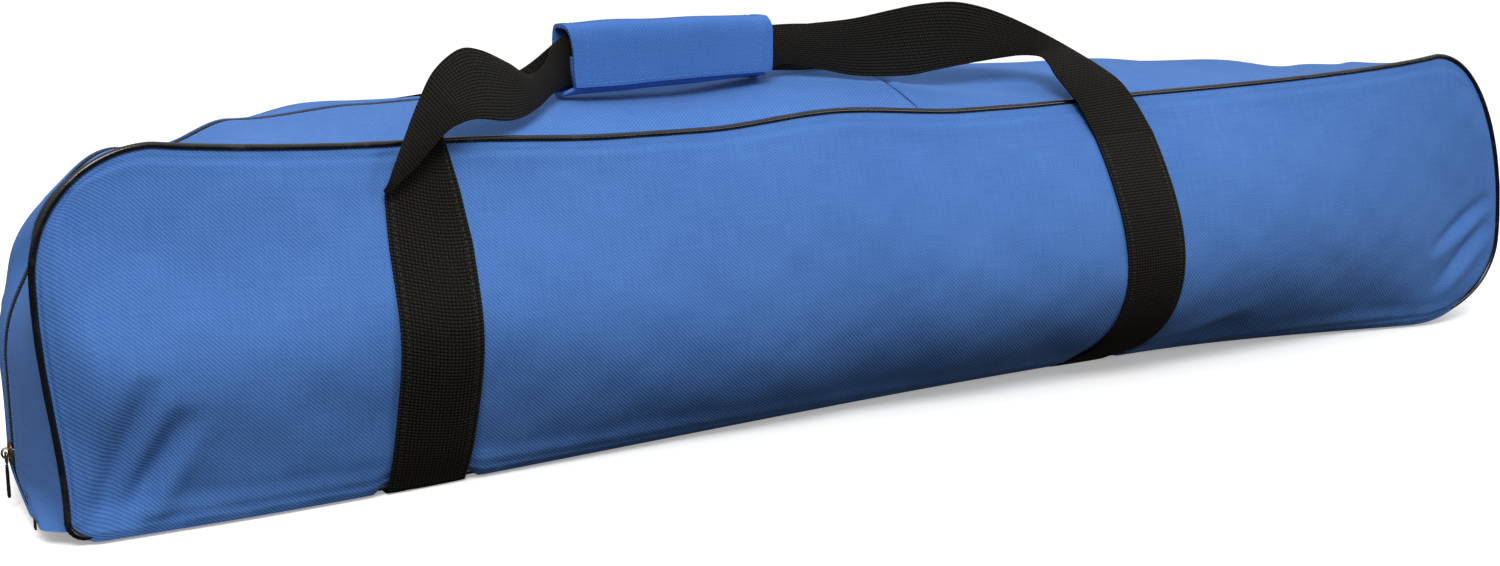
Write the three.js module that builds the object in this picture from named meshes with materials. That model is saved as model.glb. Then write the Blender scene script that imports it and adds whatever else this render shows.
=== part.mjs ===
// A soft carry case for a telescope: a long zipped bag of two shaped side panels joined by a gusset strip,
// with piped seams, two webbing handles and a wrap that holds the handles together.
// Millimetres. X runs along the case from the zip end to the round end, Y from the front panel to the back,
// and Z is up. The origin is under the middle of the case, on the surface that it rests on.
import * as THREE from 'three';

// Driving dimensions
const ZIP_END = -566;           // where the piped seam stands furthest out at the end with the zip
const ROUND_END = 564;          // the same at the other end
const TOP_HEIGHT = 217;         // seam height above the floor at both top corners
const TOP_MIDDLE_HEIGHT = 204.5;
const SEAM_LIFT = 5;            // height of the bottom seams above the floor
const SEAM_HALF_DEPTH = 85;     // half of the gusset's width
const BASE_TUCK = 50;           // how far the stuffed panel rolls under the case at its fullest place
const FULLEST_X = 230;
const SIDE_BULGE = 16;
const FULLEST_EXTRA_BULGE = 55;
const FABRIC = 1.2;
const FOAM = 5;
const LINING = 0.6;
const GAP = 0.35;
const PIPING_RADIUS = 2.1;
const PANEL_CLEARANCE = 3.6;    // from the seam line to the panel's cut edge
const SEAM_CLEARANCE = 2.8;     // from the seam line to the gusset's cut edge
const WEBBING = 1.6;
const WEBBING_WIDTH = 50;
const WEBBING_GAP = 0.9;
const BAND_MARGIN = 3;
const ZIP_STRAIGHT_X = -569;    // the zip's straight stretch up the end
const ZIP_STRAIGHT_TOP = 88;
const ZIP_FABRIC_GAP = 6;       // from the zip's middle to the fabric edge
const TAPE_HALF_WIDTH = 17;
const TAPE = 0.6;
const COIL_INNER = 0.4;
const COIL_OUTER = 3.6;
const COIL_HEIGHT = 1.6;
const FLAP_HINGE_Y = 55;
const FLAP_GAP = 0.3;
const CROSS_SEAM_X = 0;         // where the zipped half of the top ends

const COLOURS = {
  blue: 0x3f74c8, foam: 0x9a9a98, lining: 0x26282c, black: 0x141414,
  webbing: 0x1d1a16, metal: 0x8d8a84, pull: 0x18181a,
};

const material = (colour, roughness, metalness = 0) =>
  new THREE.MeshStandardMaterial({ color: COLOURS[colour], roughness, metalness });
const materials = {
  shell: material('blue', 0.85),
  foam: material('foam', 0.95),
  lining: material('lining', 0.8),
  piping: material('black', 0.25),
  webbing: material('webbing', 0.8),
  tape: material('black', 0.9),
  coil: material('black', 0.5),
  metal: material('metal', 0.35, 0.9),
  pull: material('pull', 0.4, 0.5),
};

const model = new THREE.Group();
const degrees = (angle) => (angle * Math.PI) / 180;
const clamp01 = (value) => Math.min(1, Math.max(0, value));
const smooth = (value) => clamp01(value) ** 2 * (3 - 2 * clamp01(value));
const vector = (x, y, z) => new THREE.Vector3(x, y, z);

function addMesh(name, geometry, finish) {
  const mesh = new THREE.Mesh(geometry, finish);
  mesh.name = name;
  model.add(mesh);
  return mesh;
}

// The empty case has sagged. The rear half of its zip end leans in and down, the rear half of its round end
// sinks a little, and the foot of the zip is pulled over to the front corner.
const SAG = { zipEnd: 36, roundEnd: 27, lean: 12, upperLean: 20, zipFoot: -76, footTop: 26, footHeight: 18 };
function settled(point) {
  const { x, y, z } = point;
  const height = smooth(z / 150);
  const rear = smooth(y / 70);
  const sink = SAG.zipEnd * smooth((-375 - x) / 115) + SAG.roundEnd * smooth((x - 290) / 170);
  const lean = SAG.lean * smooth(z / 70) + SAG.upperLean * smooth((z - 135) / 50);
  const foot = x < -549.5 ? SAG.zipFoot * clamp01((SAG.footTop - z) / SAG.footHeight) ** 1.5 : 0;
  return vector(
    x + lean * smooth((y - 25) / 60) * smooth((-430 - x) / 90),
    y + foot * (1 - clamp01(Math.abs(y) / SEAM_HALF_DEPTH)),
    z - sink * rear * height,
  );
}
function addCasePiece(name, geometry, finish) {
  const position = geometry.attributes.position;
  for (let i = 0; i < position.count; i++) {
    const point = settled(vector(position.getX(i), position.getY(i), position.getZ(i)));
    position.setXYZ(i, point.x, point.y, point.z);
  }
  return addMesh(name, geometry, finish);
}

function signedVolume(geometry) {
  const index = geometry.index.array;
  const corner = (i) => new THREE.Vector3().fromBufferAttribute(geometry.attributes.position, index[i]);
  let volume = 0;
  for (let i = 0; i < index.length; i += 3) {
    volume += corner(i).dot(corner(i + 1).cross(corner(i + 2)));
  }
  return volume;
}

function faceOutward(geometry) {
  if (signedVolume(geometry) >= 0) return geometry;
  const index = geometry.index.array;
  for (let i = 0; i < index.length; i += 3) {
    [index[i], index[i + 1]] = [index[i + 1], index[i]];
  }
  return geometry;
}

// Splits the cells of a box's back face along the same diagonals as its front face, so that layers nest.
const BACK_FACE = 5;
function matchDiagonals(geometry) {
  const { start, count } = geometry.groups[BACK_FACE];
  const index = geometry.index.array;
  for (let i = start; i < start + count; i += 6) {
    const [a, b, d, , c] = index.slice(i, i + 6);
    index.set([a, b, c, a, c, d], i);
  }
}

// A closed block of columns by rows cells, whose corners are placed by at(column, row, side).
function block(columns, rows, at) {
  const geometry = new THREE.BoxGeometry(1, 1, 1, columns, rows, 1);
  matchDiagonals(geometry);
  const position = geometry.attributes.position;
  for (let i = 0; i < position.count; i++) {
    const column = Math.round((position.getX(i) + 0.5) * columns);
    const row = Math.round((position.getY(i) + 0.5) * rows);
    const side = Math.round(position.getZ(i) + 0.5);
    const point = at(column, row, side);
    position.setXYZ(i, point.x, point.y, point.z);
  }
  return faceOutward(geometry);
}

// A grid of surface points with the direction out of the case at each of them.
function surface(columns, rows, pointAt, outwardAt) {
  const points = columns.map((column) => rows.map((row) => pointAt(column, row)));
  const last = { column: columns.length - 1, row: rows.length - 1 };
  const normals = points.map((line, i) => line.map((point, j) => {
    const along = points[Math.min(i + 1, last.column)][j].clone().sub(points[Math.max(i - 1, 0)][j]);
    const across = points[i][Math.min(j + 1, last.row)].clone().sub(points[i][Math.max(j - 1, 0)]);
    const normal = along.cross(across).normalize();
    return normal.dot(outwardAt(point)) < 0 ? normal.negate() : normal;
  }));
  return { points, normals };
}

// A layer of a surface between two distances along its normals, over a range of columns and rows.
function layer(grid, inner, outer, trim = {}) {
  const firstColumn = trim.firstColumn ?? 0;
  const lastColumn = trim.lastColumn ?? grid.points.length - 1;
  const firstRow = trim.firstRow ?? 0;
  const lastRow = trim.lastRow ?? grid.points[0].length - 1;
  return block(lastColumn - firstColumn, lastRow - firstRow, (column, row, side) => {
    const i = firstColumn + column;
    const j = firstRow + row;
    return grid.points[i][j].clone().addScaledVector(grid.normals[i][j], side ? outer : inner);
  });
}

const mirrored = (point) => vector(point.x, -point.y, point.z);
const mirrorGrid = (grid) => ({
  points: grid.points.map((line) => line.map(mirrored)),
  normals: grid.normals.map((line) => line.map(mirrored)),
});
const bothSides = [
  { name: 'front', flip: (grid) => grid, sign: -1 },
  { name: 'back', flip: mirrorGrid, sign: 1 },
];

// The seam's outline, seen from the front, as four sides that meet halfway round the corners
const HALF_TURN = Math.PI;
const QUARTER = Math.PI / 2;
const EIGHTH = Math.PI / 4;
const CORNER = {
  bottomLeft: { x: -547, z: SEAM_LIFT + 10, rx: 10, rz: 10 },
  topLeft: { x: ZIP_END + 66, z: TOP_HEIGHT - 68, rx: 66, rz: 68 },
  topRight: { x: ROUND_END - 84, z: 68, rx: 84, rz: TOP_HEIGHT - 68 },
  bottomRight: { x: ROUND_END - 84, z: 68, rx: 84, rz: 68 - SEAM_LIFT },
};
const point2 = (x, z) => new THREE.Vector2(x, z);
function path(...curves) {
  const joined = new THREE.CurvePath();
  curves.forEach((curve) => joined.add(curve));
  joined.arcLengthDivisions = 400;
  return joined;
}

// The curves of the outline, moved inwards by inset
function outlineCurves(inset) {
  const arc = (corner, from, to) => new THREE.EllipseCurve(
    corner.x, corner.z, corner.rx - inset, corner.rz - inset, from, to, to < from,
  );
  const { bottomLeft, topLeft, topRight, bottomRight } = CORNER;
  return {
    arc,
    upTheLeft: new THREE.CubicBezierCurve(point2(-557 + inset, bottomLeft.z), point2(-556 + inset, 55),
      point2(ZIP_END - 1 + inset, 95), point2(ZIP_END + inset, topLeft.z)),
    topLeft: new THREE.CubicBezierCurve(point2(topLeft.x, TOP_HEIGHT - inset), point2(-400, 204 - inset),
      point2(-220, 205 - inset), point2(CROSS_SEAM_X, TOP_MIDDLE_HEIGHT - inset)),
    topRight: new THREE.CubicBezierCurve(point2(CROSS_SEAM_X, TOP_MIDDLE_HEIGHT - inset),
      point2(200, 204 - inset), point2(400, 206 - inset), point2(topRight.x, TOP_HEIGHT - inset)),
    bottom: new THREE.LineCurve(point2(bottomLeft.x, SEAM_LIFT + inset), point2(bottomRight.x, SEAM_LIFT + inset)),
  };
}
const MID_CORNER = {
  bottomLeft: HALF_TURN + EIGHTH,
  topLeft: HALF_TURN - EIGHTH,
  topRight: EIGHTH,
  bottomRight: -EIGHTH,
};
function outlineSides(inset) {
  const { arc, upTheLeft, topLeft, topRight, bottom } = outlineCurves(inset);
  const sides = {
    left: [arc(CORNER.bottomLeft, MID_CORNER.bottomLeft, HALF_TURN), upTheLeft,
      arc(CORNER.topLeft, HALF_TURN, MID_CORNER.topLeft)],
    topLeft: [arc(CORNER.topLeft, MID_CORNER.topLeft, QUARTER), topLeft],
    topRight: [topRight, arc(CORNER.topRight, QUARTER, MID_CORNER.topRight)],
    right: [arc(CORNER.bottomRight, MID_CORNER.bottomRight, 0), arc(CORNER.topRight, 0, MID_CORNER.topRight)],
    bottom: [arc(CORNER.bottomLeft, MID_CORNER.bottomLeft, HALF_TURN + QUARTER), bottom,
      arc(CORNER.bottomRight, -QUARTER, MID_CORNER.bottomRight)],
  };
  return {
    ...sides,
    leftPath: path(...sides.left),
    topPath: path(...sides.topLeft, ...sides.topRight),
    rightPath: path(...sides.right),
    bottomPath: path(...sides.bottom),
  };
}
const seamCurves = outlineCurves(0);
const seamSides = outlineSides(0);
const panelSides = outlineSides(PANEL_CLEARANCE);

// How full the case is at x: 0 at its boxy ends, 1 at its roundest section
function fullness(x) {
  const rise = x < FULLEST_X ? (x + 470) / (FULLEST_X + 470) : (560 - x) / (560 - FULLEST_X);
  return Math.sin(QUARTER * clamp01(rise)) ** 1.5;
}
const seamHalfDepth = (x, z) => SEAM_HALF_DEPTH - BASE_TUCK * fullness(x) * (1 - smooth(z / 70));
const frontSeamPoint = (flat) => vector(flat.x, -seamHalfDepth(flat.x, flat.y), flat.y);

// The front panel: a patch stretched between its four cut edges and bulged towards the front
const EDGE_SHARE = PANEL_CLEARANCE / TOP_MIDDLE_HEIGHT;
function frontPoint(along, up) {
  const { leftPath, topPath, rightPath, bottomPath } = panelSides;
  const bottom = frontSeamPoint(bottomPath.getPointAt(along)).multiplyScalar(1 - up);
  const top = frontSeamPoint(topPath.getPointAt(along)).multiplyScalar(up);
  const left = frontSeamPoint(leftPath.getPointAt(up)).multiplyScalar(1 - along);
  const right = frontSeamPoint(rightPath.getPointAt(up)).multiplyScalar(along);
  const corners = frontSeamPoint(bottomPath.getPointAt(0)).multiplyScalar((1 - along) * (1 - up))
    .add(frontSeamPoint(bottomPath.getPointAt(1)).multiplyScalar(along * (1 - up)))
    .add(frontSeamPoint(topPath.getPointAt(0)).multiplyScalar((1 - along) * up))
    .add(frontSeamPoint(topPath.getPointAt(1)).multiplyScalar(along * up));
  const point = bottom.add(top).add(left).add(right).sub(corners);
  const height = EDGE_SHARE + (1 - 2 * EDGE_SHARE) * up;
  const plateau = Math.sqrt(1 - Math.abs(2 * along - 1) ** 8);
  const rise = Math.sin(Math.PI * height ** 0.75);
  point.y -= (SIDE_BULGE + FULLEST_EXTRA_BULGE * fullness(point.x)) * plateau * rise;
  return point;
}

const PANEL_LENGTH = 1118;      // along the middle of the panel
const PANEL_START = -560;
const alongOf = (x) => (x - PANEL_START) / PANEL_LENGTH;
const BAND_X = { left: -350, right: 160 };
const bandEdges = (x) => [alongOf(x - WEBBING_WIDTH / 2), alongOf(x + WEBBING_WIDTH / 2)];
const panelColumns = [
  0, 0.028, 0.06, 0.1, ...bandEdges(BAND_X.left), 0.27, 0.34, 0.41, 0.48, 0.55,
  ...bandEdges(BAND_X.right), 0.72, 0.78, 0.84, 0.9, 0.94, 0.972, 1,
];
const panelRows = [0, 0.035, 0.08, 0.15, 0.27, 0.42, 0.58, 0.74, 0.87, 0.94, 1];
const towardsFront = () => vector(0, -1, 0);
const frontPanelGrid = surface(panelColumns, panelRows, frontPoint, towardsFront);

const LAYERS = [
  { part: 'panel', inner: -FABRIC, outer: 0, finish: 'shell', trim: {} },
  {
    part: 'foam_pad', inner: -FABRIC - GAP - FOAM, outer: -FABRIC - GAP, finish: 'foam',
    trim: { firstColumn: 1, lastColumn: panelColumns.length - 2, firstRow: 2, lastRow: panelRows.length - 3 },
  },
  {
    part: 'lining', inner: -FABRIC - 2 * GAP - FOAM - LINING, outer: -FABRIC - 2 * GAP - FOAM, finish: 'lining',
    trim: { firstColumn: 1, lastColumn: panelColumns.length - 2, firstRow: 2, lastRow: panelRows.length - 3 },
  },
];
for (const side of bothSides) {
  for (const { part, inner, outer, finish, trim } of LAYERS) {
    const geometry = layer(side.flip(frontPanelGrid), inner, outer, trim);
    addCasePiece(`${side.name}_${part}`, geometry, materials[finish]);
  }
}

// The base: flat on the floor, lifted a little where the two webbing bands pass under it
const FLOOR_GAP = 0.05;
const BAND_RECESS = WEBBING + 2 * GAP;
const bandStations = Object.values(BAND_X).flatMap((x) => {
  const half = WEBBING_WIDTH / 2 + BAND_MARGIN;
  return [x - half - 3, x - half, x + half, x + half + 3];
});
const BAND_REACH = WEBBING_WIDTH / 2 + BAND_MARGIN + 1;
const underBand = (x) => Object.values(BAND_X).some((band) => Math.abs(x - band) < BAND_REACH);
const baseStations = [
  -549, -520, -470, -420, ...bandStations, -250, -170, -80, 0, 70, 260, 330, 400, 450, 478,
].sort((a, b) => a - b);
const BASE_FLAT = 0.72;
function basePoint(x, across) {
  const halfWidth = seamHalfDepth(x, SEAM_LIFT) - SEAM_CLEARANCE;
  const lift = Math.abs(across) > BASE_FLAT ? SEAM_LIFT - 2 : 0;
  return vector(x, across * halfWidth, Math.max(lift, underBand(x) ? BAND_RECESS : 0));
}
const baseGrid = surface(baseStations, [-1, -BASE_FLAT, BASE_FLAT, 1], basePoint, () => vector(0, 0, -1));
baseGrid.normals.forEach((line) => line.forEach((normal) => normal.set(0, 0, -1)));
addMesh('base_gusset', layer(baseGrid, -FABRIC, 0), materials.shell);
const baseInnerGrid = surface(
  baseStations.slice(1, -2), [-1, 1],
  (x, across) => vector(x, across * BASE_FLAT * 0.97 * (seamHalfDepth(x, SEAM_LIFT) - SEAM_CLEARANCE),
    underBand(x) ? BAND_RECESS : 0),
  () => vector(0, 0, -1),
);
baseInnerGrid.normals.forEach((line) => line.forEach((normal) => normal.set(0, 0, -1)));
addMesh('base_foam_pad', layer(baseInnerGrid, -FABRIC - GAP - FOAM, -FABRIC - GAP), materials.foam);
addMesh('base_lining', layer(baseInnerGrid, -FABRIC - 2 * GAP - FOAM - LINING, -FABRIC - 2 * GAP - FOAM),
  materials.lining);

// The gusset strip: outline points pushed out by a crown that is highest halfway between the two seams
function between(stops, value) {
  const next = stops.findIndex(([at]) => at >= value);
  if (next <= 0) return stops[next === 0 ? 0 : stops.length - 1][1];
  const [fromAt, from] = stops[next - 1];
  const [toAt, to] = stops[next];
  return from + (to - from) * smooth((value - fromAt) / (toAt - fromAt));
}
const ZIP_CROWN = [
  [0.12, -3.5], [0.2, -16], [0.265, -18.5], [0.33, -12], [0.36, -10], [0.42, 6], [0.52, 13], [0.7, 20], [1, 20],
];
const ROUND_CROWN = [
  [0, 20], [0.22, 17], [0.4, 7], [0.54, -5], [0.61, -12], [0.68, -8], [0.8, 6], [0.9, 5], [1, SEAM_LIFT - 0.2],
];
const zipPath = path(...seamSides.left, ...seamSides.topLeft);
const roundPath = path(seamCurves.topRight, seamCurves.arc(CORNER.topRight, QUARTER, 0),
  seamCurves.arc(CORNER.bottomRight, 0, -QUARTER));

function outwardOf(curvePath, at) {
  const tangent = curvePath.getTangentAt(at);
  return point2(-tangent.y, tangent.x);
}
function zipSection(at) {
  const flat = zipPath.getPointAt(at);
  const normal = outwardOf(zipPath, at);
  if (flat.y <= CORNER.topLeft.z) normal.set(-1, 0);
  if (flat.x >= CORNER.topLeft.x) normal.set(0, 1);
  const straight = flat.x - ZIP_STRAIGHT_X;
  const corner = between(ZIP_CROWN, at);
  const blend = flat.x >= CORNER.topLeft.x ? 1 : smooth((flat.y - ZIP_STRAIGHT_TOP) / 30);
  return { flat, normal, crown: straight * (1 - blend) + corner * blend };
}
function roundSection(at) {
  return { flat: roundPath.getPointAt(at), normal: outwardOf(roundPath, at), crown: between(ROUND_CROWN, at) };
}
function crownPoint({ flat, normal, crown }, y) {
  const depth = seamHalfDepth(flat.x, flat.y);
  const lift = crown * (1 - (y / depth) ** 2);
  return vector(flat.x + normal.x * lift, y, flat.y + normal.y * lift);
}
const seamEdge = (section) => seamHalfDepth(section.flat.x, section.flat.y) - SEAM_CLEARANCE;
const awayFromMiddle = (point) => vector(point.x * 0.2, 0, point.z - 60);

const roundStations = [
  0.0005, 0.07, 0.15, 0.22, 0.31, 0.4, 0.48, 0.54, 0.58, 0.62, 0.66, 0.7, 0.75, 0.8, 0.84, 0.88, 0.92, 0.96, 1,
];
const roundGrid = surface(roundStations, [-1, -0.7, -0.35, 0.35, 0.7, 1], (at, across) => {
  const section = roundSection(at);
  return crownPoint(section, across * seamEdge(section));
}, awayFromMiddle);
addCasePiece('round_end_gusset', layer(roundGrid, -FABRIC, 0), materials.shell);
const padTrim = { firstColumn: 10, lastColumn: 16, firstRow: 1, lastRow: 4 };
const endPad = layer(roundGrid, -FABRIC - GAP - FOAM, -FABRIC - GAP, padTrim);
addCasePiece('round_end_foam_pad', endPad, materials.foam);
addCasePiece('round_end_lining',
  layer(roundGrid, -FABRIC - 2 * GAP - FOAM - LINING, -FABRIC - 2 * GAP - FOAM, padTrim), materials.lining);

// The zipped part of the gusset: fixed up the end and round the corner, and two flaps along the top
const FLAP_START_X = -376;
const FLAP_END_X = -6;
const zipLength = zipPath.getLength();
const atTopX = (x) => {
  let low = 0.3;
  let high = 1;
  for (let step = 0; step < 40; step++) {
    const middle = (low + high) / 2;
    if (zipPath.getPointAt(middle).x < x) low = middle;
    else high = middle;
  }
  return low;
};
const flapStart = atTopX(FLAP_START_X);
const flapEnd = atTopX(FLAP_END_X);
const step = 2 / zipLength;
const endStations = [
  0.001, 0.0055, 0.0105, 0.015, 0.02, 0.026, 0.04, 0.07, 0.11, 0.14, 0.17, 0.2, 0.225, 0.25, 0.275, 0.3, 0.33,
  0.36, 0.39, 0.42, 0.45, 0.48, flapStart - 2 * step,
];
const topStations = [0.54, 0.58, 0.63, 0.68, 0.74, 0.8, 0.86, 0.93];
const fixedStations = [...endStations, flapStart - step, ...topStations, flapEnd + step, flapEnd + 2 * step];
const tapeStations = [...endStations.slice(1, -1), flapStart - 3 * step];
const overTheTop = (at) => at > flapStart - 1.5 * step && at < flapEnd + 1.5 * step;
const zipRows = [0, (TAPE_HALF_WIDTH - ZIP_FABRIC_GAP) / 76.2, 0.35, 0.7, 1];
const fixedZipGrid = surface(fixedStations, zipRows, (at, across) => {
  const section = zipSection(at);
  const innerY = overTheTop(at) ? FLAP_HINGE_Y + FLAP_GAP : ZIP_FABRIC_GAP;
  return crownPoint(section, -(innerY + (seamEdge(section) - innerY) * across));
}, awayFromMiddle);
const flapStations = [flapStart, ...topStations, flapEnd];
const evenly = (rows) => Array.from({ length: rows + 1 }, (_, row) => row / rows);
const strip = (stations, fromY, toY, rows) => surface(
  stations, rows, (at, across) => crownPoint(zipSection(at), -(fromY + (toY - fromY) * across)), awayFromMiddle,
);
const TAPE_TOP = -FABRIC - GAP;
const underFabricEdge = (ZIP_FABRIC_GAP - COIL_INNER) / (TAPE_HALF_WIDTH - COIL_INNER);
const ZIP_PARTS = [
  {
    part: 'zip_tape', fromY: COIL_INNER, toY: TAPE_HALF_WIDTH, rows: [0, underFabricEdge, 1],
    inner: TAPE_TOP - TAPE, outer: TAPE_TOP, finish: 'tape',
  },
  {
    part: 'zip_coil', fromY: COIL_INNER, toY: COIL_OUTER, rows: [0, 1],
    inner: TAPE_TOP + GAP, outer: TAPE_TOP + GAP + COIL_HEIGHT, finish: 'coil',
  },
];
const sideNames = { front: 'front', back: 'rear' };
for (const side of bothSides) {
  const name = sideNames[side.name];
  addCasePiece(`zip_gusset_${name}`, layer(side.flip(fixedZipGrid), -FABRIC, 0), materials.shell);
  const flapGrid = strip(flapStations, ZIP_FABRIC_GAP, FLAP_HINGE_Y, evenly(3));
  addCasePiece(`zip_flap_${name}`, layer(side.flip(flapGrid), -FABRIC, 0), materials.shell);
  for (const { part, fromY, toY, rows, inner, outer, finish } of ZIP_PARTS) {
    const endGrid = side.flip(strip(tapeStations, fromY, toY, rows));
    addCasePiece(`end_${part}_${name}`, layer(endGrid, inner, outer), materials[finish]);
    const topGrid = side.flip(strip(flapStations, fromY, toY, rows));
    addCasePiece(`top_${part}_${name}`, layer(topGrid, inner, outer), materials[finish]);
  }
}

// Piping and the binding inside each seam: open loops whose ends meet under the case
const LOOP_END_X = -300;
const LOOP_END_GAP = 0.5;
const loopPieces = [
  { curve: new THREE.LineCurve(point2(LOOP_END_X - LOOP_END_GAP, SEAM_LIFT),
    point2(CORNER.bottomLeft.x, SEAM_LIFT)), steps: 4 },
  { curve: seamCurves.arc(CORNER.bottomLeft, HALF_TURN + QUARTER, HALF_TURN), steps: 3 },
  { curve: seamCurves.upTheLeft, steps: 5 },
  { curve: seamCurves.arc(CORNER.topLeft, HALF_TURN, QUARTER), steps: 7 },
  { curve: seamCurves.topLeft, steps: 20 },
  { curve: seamCurves.topRight, steps: 10 },
  { curve: seamCurves.arc(CORNER.topRight, QUARTER, 0), steps: 9 },
  { curve: seamCurves.arc(CORNER.bottomRight, 0, -QUARTER), steps: 7 },
  { curve: new THREE.LineCurve(point2(CORNER.bottomRight.x, SEAM_LIFT),
    point2(LOOP_END_X + LOOP_END_GAP, SEAM_LIFT)), steps: 16 },
];
const LOOP_STEPS = loopPieces.reduce((sum, piece) => sum + piece.steps, 0);
function onLoop(at) {
  let remaining = clamp01(at) * LOOP_STEPS;
  const piece = loopPieces.find(({ steps }) => {
    if (remaining <= steps) return true;
    remaining -= steps;
    return false;
  }) ?? loopPieces.at(-1);
  return { curve: piece.curve, share: clamp01(remaining / piece.steps) };
}
class SeamLoop extends THREE.Curve {
  constructor(side) {
    super();
    this.side = side;
  }

  getPoint(at, target = new THREE.Vector3()) {
    const { curve, share } = onLoop(at);
    const flat = curve.getPointAt(share);
    return target.set(flat.x, this.side * seamHalfDepth(flat.x, flat.y), flat.y);
  }

  getUtoTmapping(at) {
    return at;
  }
}
function inwardOnLoop(at) {
  const { curve, share } = onLoop(at);
  const tangent = curve.getTangentAt(share);
  return point2(tangent.y, -tangent.x);
}
const PIPING_SIDES = 6;
const pipingSection = new THREE.Shape(Array.from({ length: PIPING_SIDES }, (_, i) => {
  const angle = (i / PIPING_SIDES) * 2 * Math.PI;
  return point2(PIPING_RADIUS * Math.cos(angle), PIPING_RADIUS * Math.sin(angle));
}));
const BINDING = { start: 4.4, width: 7, thickness: 1.2, inset: 3.6 };
for (const side of bothSides) {
  const loop = new SeamLoop(side.sign);
  addCasePiece(`${side.name}_piping`, new THREE.ExtrudeGeometry(pipingSection, {
    steps: LOOP_STEPS, extrudePath: loop, bevelEnabled: false,
  }), materials.piping);
  addCasePiece(`${side.name}_seam_binding`, block(LOOP_STEPS, 1, (column, row, face) => {
    const at = column / LOOP_STEPS;
    const point = loop.getPoint(at);
    const inward = inwardOnLoop(at).multiplyScalar(BINDING.start + BINDING.width * row);
    const y = point.y - side.sign * (BINDING.inset + BINDING.thickness * face);
    return vector(point.x + inward.x, y, point.z + inward.y);
  }), materials.lining);
}

// The webbing bands, sewn down the front, under the base and up the back
function bandStationsAt(edge, columnIndex) {
  const wall = frontPanelGrid.points[columnIndex].map((point, row) => {
    const normal = frontPanelGrid.normals[columnIndex][row];
    const inner = point.clone().addScaledVector(normal, WEBBING_GAP);
    return { inner, outer: inner.clone().addScaledVector(normal, WEBBING) };
  }).slice(0, -1);
  const seam = seamHalfDepth(edge, SEAM_LIFT);
  const full = fullness(edge);
  const around = degrees(60 * full);
  const roundThePiping = (radius) => vector(edge, -(seam + radius * Math.cos(around)),
    SEAM_LIFT - radius * Math.sin(around));
  const onTheFloor = (y) => ({ inner: vector(edge, y, FLOOR_GAP + WEBBING), outer: vector(edge, y, FLOOR_GAP) });
  const turn = [
    onTheFloor(-BASE_FLAT * seam),
    onTheFloor(-(seam + 1.6 * (1 - full))),
    { inner: roundThePiping(PIPING_RADIUS + 0.4), outer: roundThePiping(PIPING_RADIUS + 0.4 + WEBBING) },
  ];
  const front = [...turn, ...wall];
  const back = front.map(({ inner, outer }) => ({ inner: mirrored(inner), outer: mirrored(outer) })).reverse();
  return [...back, ...front];
}
for (const [name, x] of Object.entries(BAND_X)) {
  const lines = bandEdges(x).map((along, edge) =>
    bandStationsAt(x + (edge - 0.5) * WEBBING_WIDTH, panelColumns.indexOf(along)));
  addCasePiece(`webbing_band_${name}`, block(1, lines[0].length - 1, (column, row, side) =>
    (side ? lines[column][row].outer : lines[column][row].inner)), materials.webbing);
}

// The handles: ribbons given by the two ends of their width, station by station, from the left to the right
const FRONT_HANDLE = [
  [[-372, -100, 184], [-374, -99, 189]],
  [[-361, -101, 194], [-368, -97, 199]],
  [[-349, -103, 206], [-362, -96, 211]],
  [[-338, -103, 216], [-356, -92, 222]],
  [[-328, -102, 220], [-349, -90, 235]],
  [[-320, -100, 221], [-342, -89, 247]],
  [[-311, -97, 220], [-333, -87, 255]],
  [[-300, -92, 218], [-322, -84, 260]],
  [[-288, -84, 221], [-308, -78, 259]],
  [[-275, -74, 225], [-288, -68, 252]],
  [[-261, -62, 229], [-266, -58, 242]],
  [[-249, -51, 231], [-252, -49, 247]],
  [[-238, -41, 234.5], [-241, -40, 256]],
  [[-228, -37, 235], [-228, -37, 259]],
  [[-160, -36.5, 235], [-160, -36.5, 259]],
  [[-94, -37, 235], [-94, -37, 259]],
  [[-82, -39, 234], [-84, -39, 259]],
  [[-55, -41, 231], [-57, -40, 261]],
  [[-25, -44, 227], [-29, -42, 265]],
  [[15, -47, 227], [2, -45, 269]],
  [[50, -53, 230], [35, -50, 272]],
  [[78, -62, 234], [66, -56, 272]],
  [[96, -74, 234], [96, -64, 268]],
  [[108, -84, 228], [128, -74, 258]],
  [[116, -90, 220], [155, -84, 238]],
  [[132, -93, 207], [182, -92, 207]],
];
const REAR_HANDLE = [
  [[-374, 94, 205], [-326, 94, 205]],
  [[-371, 87, 214], [-325, 85, 214.5]],
  [[-350, 56, 223], [-306, 50, 224]],
  [[-322, 24, 229.5], [-292, 8, 236]],
  [[-280, -8, 233], [-272, -16, 252]],
  [[-250, -28, 234], [-252, -29, 256]],
  [[-228, -31.5, 234], [-228, -31.5, 258]],
  [[-160, -31, 234], [-160, -31, 258]],
  [[-94, -31.5, 234], [-94, -31.5, 258]],
  [[-54, -24, 231], [-57, -20, 258]],
  [[-10, 0, 228], [-14, 16, 254]],
  [[34, 32, 227], [26, 58, 242]],
  [[64, 62, 223], [62, 96, 224]],
  [[90, 88, 217], [106, 116, 199]],
  [[112, 104, 198], [150, 121, 176]],
  [[130, 111, 186], [184, 121, 170]],
];
const HANDLE_STATIONS = { FRONT: 50, REAR: 36 };
function handleRibbon(stations, count, flipWidth) {
  const edges = [0, 1].map((edge) => new THREE.CatmullRomCurve3(
    stations.map((ends) => vector(...ends[edge])), false, 'centripetal',
  ));
  const width = [0, 0.5, 1];
  const grid = surface(Array.from({ length: count + 1 }, (_, i) => i / count), width, (at, across) => {
    const [low, high] = edges.map((curve) => curve.getPoint(at));
    return low.lerp(high, across);
  }, () => vector(0, 0, 0));
  const sign = flipWidth ? -1 : 1;
  grid.normals.forEach((line) => line.forEach((normal) => normal.multiplyScalar(sign)));
  return layer(grid, -WEBBING / 2, WEBBING / 2);
}
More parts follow.
